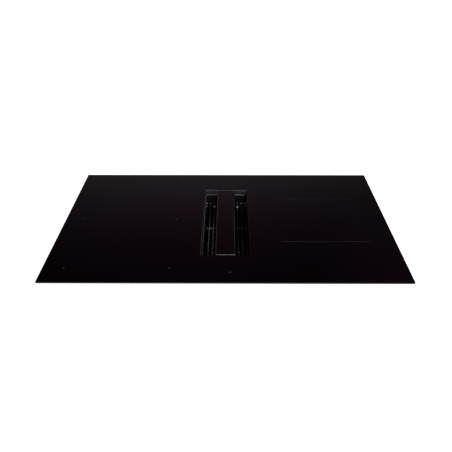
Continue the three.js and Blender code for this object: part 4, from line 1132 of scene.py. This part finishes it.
def tray_details(sizes, side):
    """Screws in a bay's walls, and beads and screws under its floor."""
    lo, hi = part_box(f"bay_tray_{side}")
    inset = sizes.screw_inset
    small = sizes.screw * SMALL_SCREW
    rows = spread(lo.x + inset, hi.x - inset, 2 * sizes.screw_pitch)
    for face, y, end in ((-1, lo.y, "front"), (1, hi.y, "rear")):
        points = [(x, y, z) for x in rows for z in (lo.z + inset, hi.z - inset)]
        screws(f"bay_screws_{side}_{end}", points, (0, face, 0), small)
    edge = 0.004
    feet = corner_places(*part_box(f"power_board_{side}"), edge, lo.z)
    screws(f"board_screws_{side}", feet, (0, 0, -1), small)
    fan_lo, fan_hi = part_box(f"cooling_fan_frame_{side}")
    rows = [lo.y + 1.5 * sizes.bead_pitch * step + sizes.bead_pitch for step in range(3)]
    clear = [y for y in rows if y < fan_lo.y - sizes.bead_width or y > fan_hi.y + sizes.bead_width]
    points = [((lo.x + hi.x) / 2, y, lo.z) for y in clear]
    beads(f"bay_beads_{side}", points, hi.x - lo.x - 2 * sizes.bead_pitch, sizes)


def plenum_details(sizes):
    """Screws round the deck's edge, and beads under the plenum's floor."""
    lo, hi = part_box("plenum_shell")
    inset = sizes.screw_inset
    level = hi.z - inset / 2
    along = spread(lo.x + inset, hi.x - inset, sizes.screw_pitch)
    across = spread(lo.y + inset, hi.y - inset, sizes.screw_pitch)
    screws("plenum_screws_front", [(x, lo.y, level) for x in along], (0, -1, 0), sizes.screw)
    screws("plenum_screws_rear", [(x, hi.y, level) for x in along], (0, 1, 0), sizes.screw)
    screws("plenum_screws_left", [(lo.x, y, level) for y in across], (-1, 0, 0), sizes.screw)
    screws("plenum_screws_right", [(hi.x, y, level) for y in across], (1, 0, 0), sizes.screw)
    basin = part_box("drip_basin")[1].x
    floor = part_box("basin_seal")[1].z
    margin = 0.05
    rows = spread(lo.y + margin, hi.y - margin, 1.5 * sizes.bead_pitch)
    points = [((basin + hi.x) / 2, y, floor) for y in rows]
    beads("plenum_beads", points, hi.x - basin - 2 * sizes.bead_pitch, sizes)


class COOKTOP_OT_blower(bpy.types.Operator):
    """Blower, duct socket and damper"""

    bl_idname = "cooktop.blower"
    bl_label = "Blower"

    def execute(self, context):
        sizes = context.scene.cooktop_casing
        soften(sizes.moulding_bevel, "blower_scroll", "outlet_spigot", "damper_flap")
        soften(sizes.sheet_bevel / 2, "inlet_ring", "blower_impeller", "damper_pin")
        soften(sizes.moulding_bevel, "blower_motor")
        lo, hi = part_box("blower_motor")
        middle = (lo + hi) / 2
        reach = (hi.x - lo.x) / 2 - sizes.screw
        flange = 0.003
        points = []
        for i in range(4):
            angle = math.radians(45 + 90 * i)
            x = middle.x + reach * math.cos(angle)
            y = middle.y + reach * math.sin(angle)
            points.append((x, y, hi.z - flange))
        screws("motor_screws", points, (0, 0, -1), sizes.screw * SMALL_SCREW)
        return {"FINISHED"}


class COOKTOP_OT_basin(bpy.types.Operator):
    """Drip basin and its seal"""

    bl_idname = "cooktop.basin"
    bl_label = "Drip basin"

    def execute(self, context):
        sizes = context.scene.cooktop_casing
        soften(sizes.moulding_bevel, "drip_basin")
        soften(sizes.sheet_bevel, "basin_seal")
        return {"FINISHED"}


class COOKTOP_OT_coils(bpy.types.Operator):
    """Induction coils wound from litz wire, on their plates under mica"""

    bl_idname = "cooktop.coils"
    bl_label = "Coils"

    def execute(self, context):
        sizes = context.scene.cooktop_casing
        soften(sizes.sheet_bevel, *both_sides("coil_plate", "mica_sheet"))
        soften(sizes.sheet_bevel, *(f"coil_sensor_{quarter}" for quarter in QUARTERS))
        nodes = [f"coil_{quarter}" for quarter in QUARTERS]
        boxes = [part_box(node) for node in nodes]
        points = [(lo + hi) / 2 for lo, hi in boxes]
        lo, hi = boxes[0]
        winding_pattern(sizes, hi - lo).grow("coil_windings", points, "cooktop", "coil_copper", nodes)
        return {"FINISHED"}


def winding_pattern(sizes, room):
    """One wire that winds out from a round eye to a square with round corners."""
    pattern = Pattern(
        "litz_winding", Turns=sizes.turns, Eye=sizes.coil_eye, Wire=sizes.litz,
        Width=room.x, Depth=room.y, Height=room.z, Square=0.42, Gap=0.0003)
    wire = pattern["Wire"]
    steps_in_turn = 44.0
    fine = pattern.line((0, 0, 0), (1, 0, 0), pattern["Turns"] * steps_in_turn)
    along, _, _ = pattern.place()
    angle = along * pattern["Turns"] * FULL_TURN
    power = 1 - along * (1 - pattern["Square"])
    place = []
    for span, wave in (("Width", angle.maths("COSINE")), ("Depth", angle.sine())):
        reach = pattern["Eye"] + along * (pattern[span] / 2 - wire - pattern["Eye"])
        place.append(reach * wave.maths("SIGN") * abs(wave) ** power)
    values = {"Geometry": fine, "Position": pattern.vector(*place)}
    wound = pattern.made("GeometryNodeSetPosition", values)
    level = pattern.made("GeometryNodeSetCurveNormal", {"Curve": wound}, mode="Z_UP")
    section = pattern.section(wire, pattern["Height"] - pattern["Gap"], wire * 0.42, 2)
    return pattern.end(pattern.swept(level, section), "coil_copper")


class COOKTOP_OT_electronics(bpy.types.Operator):
    """Power boards with their parts, heat sinks, fans and the touch control"""

    bl_idname = "cooktop.electronics"
    bl_label = "Electronics"

    def execute(self, context):
        sizes = context.scene.cooktop_casing
        soften(sizes.sheet_bevel / 2, *both_sides("power_board", "cooling_fan_rotor"), "touch_board")
        soften(sizes.sheet_bevel, *both_sides("heat_sink", "cooling_fan_frame"))
        soften(sizes.sheet_bevel, "touch_holder", "light_guide")
        board_parts(sizes)
        return {"FINISHED"}


def board_parts(sizes):
    """Capacitors, relays and chokes on the free strips of the power boards."""
    sides = 20
    lid_height = 0.0005
    can = Pattern("capacitor", Radius=sizes.can_radius, Height=sizes.can_height)
    radius, height = can["Radius"], can["Height"]
    shoulder = can.cone(sides, radius, radius * 0.9, radius * 0.12, height)
    can.end(can.joined(can.cone(sides, radius, radius, height), shoulder), "motor_metal")
    lid = Pattern("capacitor_lid", Radius=0.0094)
    lid.end(lid.cone(sides, lid["Radius"], lid["Radius"], lid_height), "heat_sink")
    relay = Pattern("relay", Width=0.012, Depth=0.028, Height=0.016)
    relay.end(relay.block(relay["Width"], relay["Depth"], relay["Height"]), "grey_plastic")
    choke = Pattern("choke", Radius=0.011, Core=0.005)
    torus = choke.swept(choke.circle(32, choke["Radius"]), choke.circle(12, choke["Core"]))
    choke.end(choke.moved(torus, z=choke["Core"]), "coil_copper")
    beside_sink, edge, stagger, shoulder_rise, choke_inset = 0.012, 0.028, 0.03, 0.0013, 0.042
    for side, name in MIRROR:
        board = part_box(f"power_board_{name}")
        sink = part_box(f"heat_sink_{name}")
        inner = side * (max(abs(corner.x) for corner in sink) + beside_sink)
        outer = max(abs(corner.x) for corner in board)
        top = board[1].z
        cans = []
        for i in range(9):
            x = side * (outer - edge - stagger * (i % 2))
            cans.append((x, sizes.can_pitch * (i - 4), top))
        lids = [(x, y, z + sizes.can_height + shoulder_rise) for x, y, z in cans]
        relays = [(inner, sizes.relay_pitch * step, top) for step in range(-2, 3)]
        chokes = [(side * (outer - choke_inset), end * sizes.choke_reach, top) for end in (-1, 1)]
        can.grow(f"capacitors_{name}", cans, "cooktop", "motor_metal")
        lid.grow(f"capacitor_lids_{name}", lids, "cooktop", "heat_sink")
        relay.grow(f"relays_{name}", relays, "cooktop", "grey_plastic")
        choke.grow(f"chokes_{name}", chokes, "cooktop", "coil_copper")


class COOKTOP_OT_boxes(bpy.types.Operator):
    """Fan driver's box and the mains terminal box"""

    bl_idname = "cooktop.boxes"
    bl_label = "Boxes"

    def execute(self, context):
        sizes = context.scene.cooktop_casing
        soften(sizes.moulding_bevel, "driver_box", "terminal_box", "terminal_cover", "terminal_block")
        soften(sizes.sheet_bevel, "driver_board", "cable_gland")
        inset = sizes.screw * 2
        for node in ("driver_box", "terminal_cover"):
            lo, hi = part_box(node)
            points = corner_places(lo, hi, inset, lo.z)
            screws(f"{node}_screws", points, (0, 0, -1), sizes.screw * SMALL_SCREW)
        lo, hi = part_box("terminal_block")
        end, pitch, share = 0.008, 0.011, 0.7
        points = [(x, (lo.y + hi.y) / 2, lo.z) for x in spread(lo.x + end, hi.x - end, pitch)]
        screws("terminal_screws", points, (0, 0, -1), sizes.screw * share)
        return {"FINISHED"}


class COOKTOP_OT_clamps(bpy.types.Operator):
    """Worktop clamps: threaded screws and turning arms"""

    bl_idname = "cooktop.clamps"
    bl_label = "Clamps"

    def execute(self, context):
        sizes = context.scene.cooktop_casing
        soften(sizes.sheet_bevel, *(f"clamp_arm_{quarter}" for quarter in QUARTERS))
        nodes = [f"clamp_screw_{quarter}" for quarter in QUARTERS]
        boxes = [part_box(node) for node in nodes]
        points = [((lo.x + hi.x) / 2, (lo.y + hi.y) / 2, lo.z) for lo, hi in boxes]
        lo, hi = boxes[0]
        pattern = thread_pattern(sizes, hi.z - lo.z, (hi.x - lo.x) / 2)
        pattern.grow("clamp_screws", points, "cooktop", "screw_steel", nodes)
        return {"FINISHED"}


def thread_pattern(sizes, height, head):
    """A screw that stands on a hexagon head, with a helical thread."""
    pattern = Pattern(
        "clamp_thread", Length=height, Head=head, Head_Height=0.004, Shank=0.0025,
        Pitch=sizes.thread_pitch, Depth=sizes.thread_depth)
    top, rise, shank = pattern["Length"], pattern["Head_Height"], pattern["Shank"]
    steps_in_pitch = 5.0
    count = top / pattern["Pitch"] * steps_in_pitch
    fine = pattern.line(pattern.vector(z=rise * 0.9), pattern.vector(z=top), count)
    rod = pattern.swept(fine, pattern.circle(18, shank))
    x, y, z = pattern.place()
    turned = z / pattern["Pitch"] - y.maths("ARCTAN2", x) / FULL_TURN
    groove = abs(turned - turned.floor() - 0.5) * 2.0
    shrink = groove * pattern["Depth"] / shank
    threaded = pattern.shifted(rod, -x * shrink, -y * shrink)
    size = pattern["Head"]
    hexagon = pattern.cone(6, size * 0.92, size, rise * 0.15)
    body = pattern.cone(6, size, size, rise * 0.85, rise * 0.15)
    return pattern.end(pattern.joined(hexagon, body, threaded), "screw_steel")


# ---- panel and main ------------------------------------------------------------------


class COOKTOP_PT_panel(bpy.types.Panel):
    """The cooktop's operators"""

    bl_idname = "COOKTOP_PT_panel"
    bl_label = "Cooktop"
    bl_space_type = "VIEW_3D"
    bl_region_type = "UI"
    bl_category = "Cooktop"

    def draw(self, context):
        for operator in OPERATORS:
            self.layout.operator(operator.bl_idname)


OPERATORS = (
    COOKTOP_OT_stage,
    COOKTOP_OT_glass,
    COOKTOP_OT_flap,
    COOKTOP_OT_filter,
    COOKTOP_OT_sheet,
    COOKTOP_OT_blower,
    COOKTOP_OT_basin,
    COOKTOP_OT_coils,
    COOKTOP_OT_electronics,
    COOKTOP_OT_boxes,
    COOKTOP_OT_clamps,
)
GROUPS = {
    "cooktop_colours": CooktopColours,
    "cooktop_glass": CooktopGlass,
    "cooktop_filter": CooktopFilter,
    "cooktop_casing": CooktopCasing,
    "cooktop_stage": CooktopStage,
}


def register():
    for made in (*GROUPS.values(), *OPERATORS, COOKTOP_PT_panel):
        bpy.utils.register_class(made)
    for name, group in GROUPS.items():
        setattr(bpy.types.Scene, name, PointerProperty(type=group))


def unregister():
    for name in GROUPS:
        delattr(bpy.types.Scene, name)
    for made in reversed((*GROUPS.values(), *OPERATORS, COOKTOP_PT_panel)):
        bpy.utils.unregister_class(made)


def main():
    register()
    for operator in OPERATORS:
        getattr(bpy.ops.cooktop, operator.bl_idname.split(".")[1])()


if __name__ == "__main__":
    main()
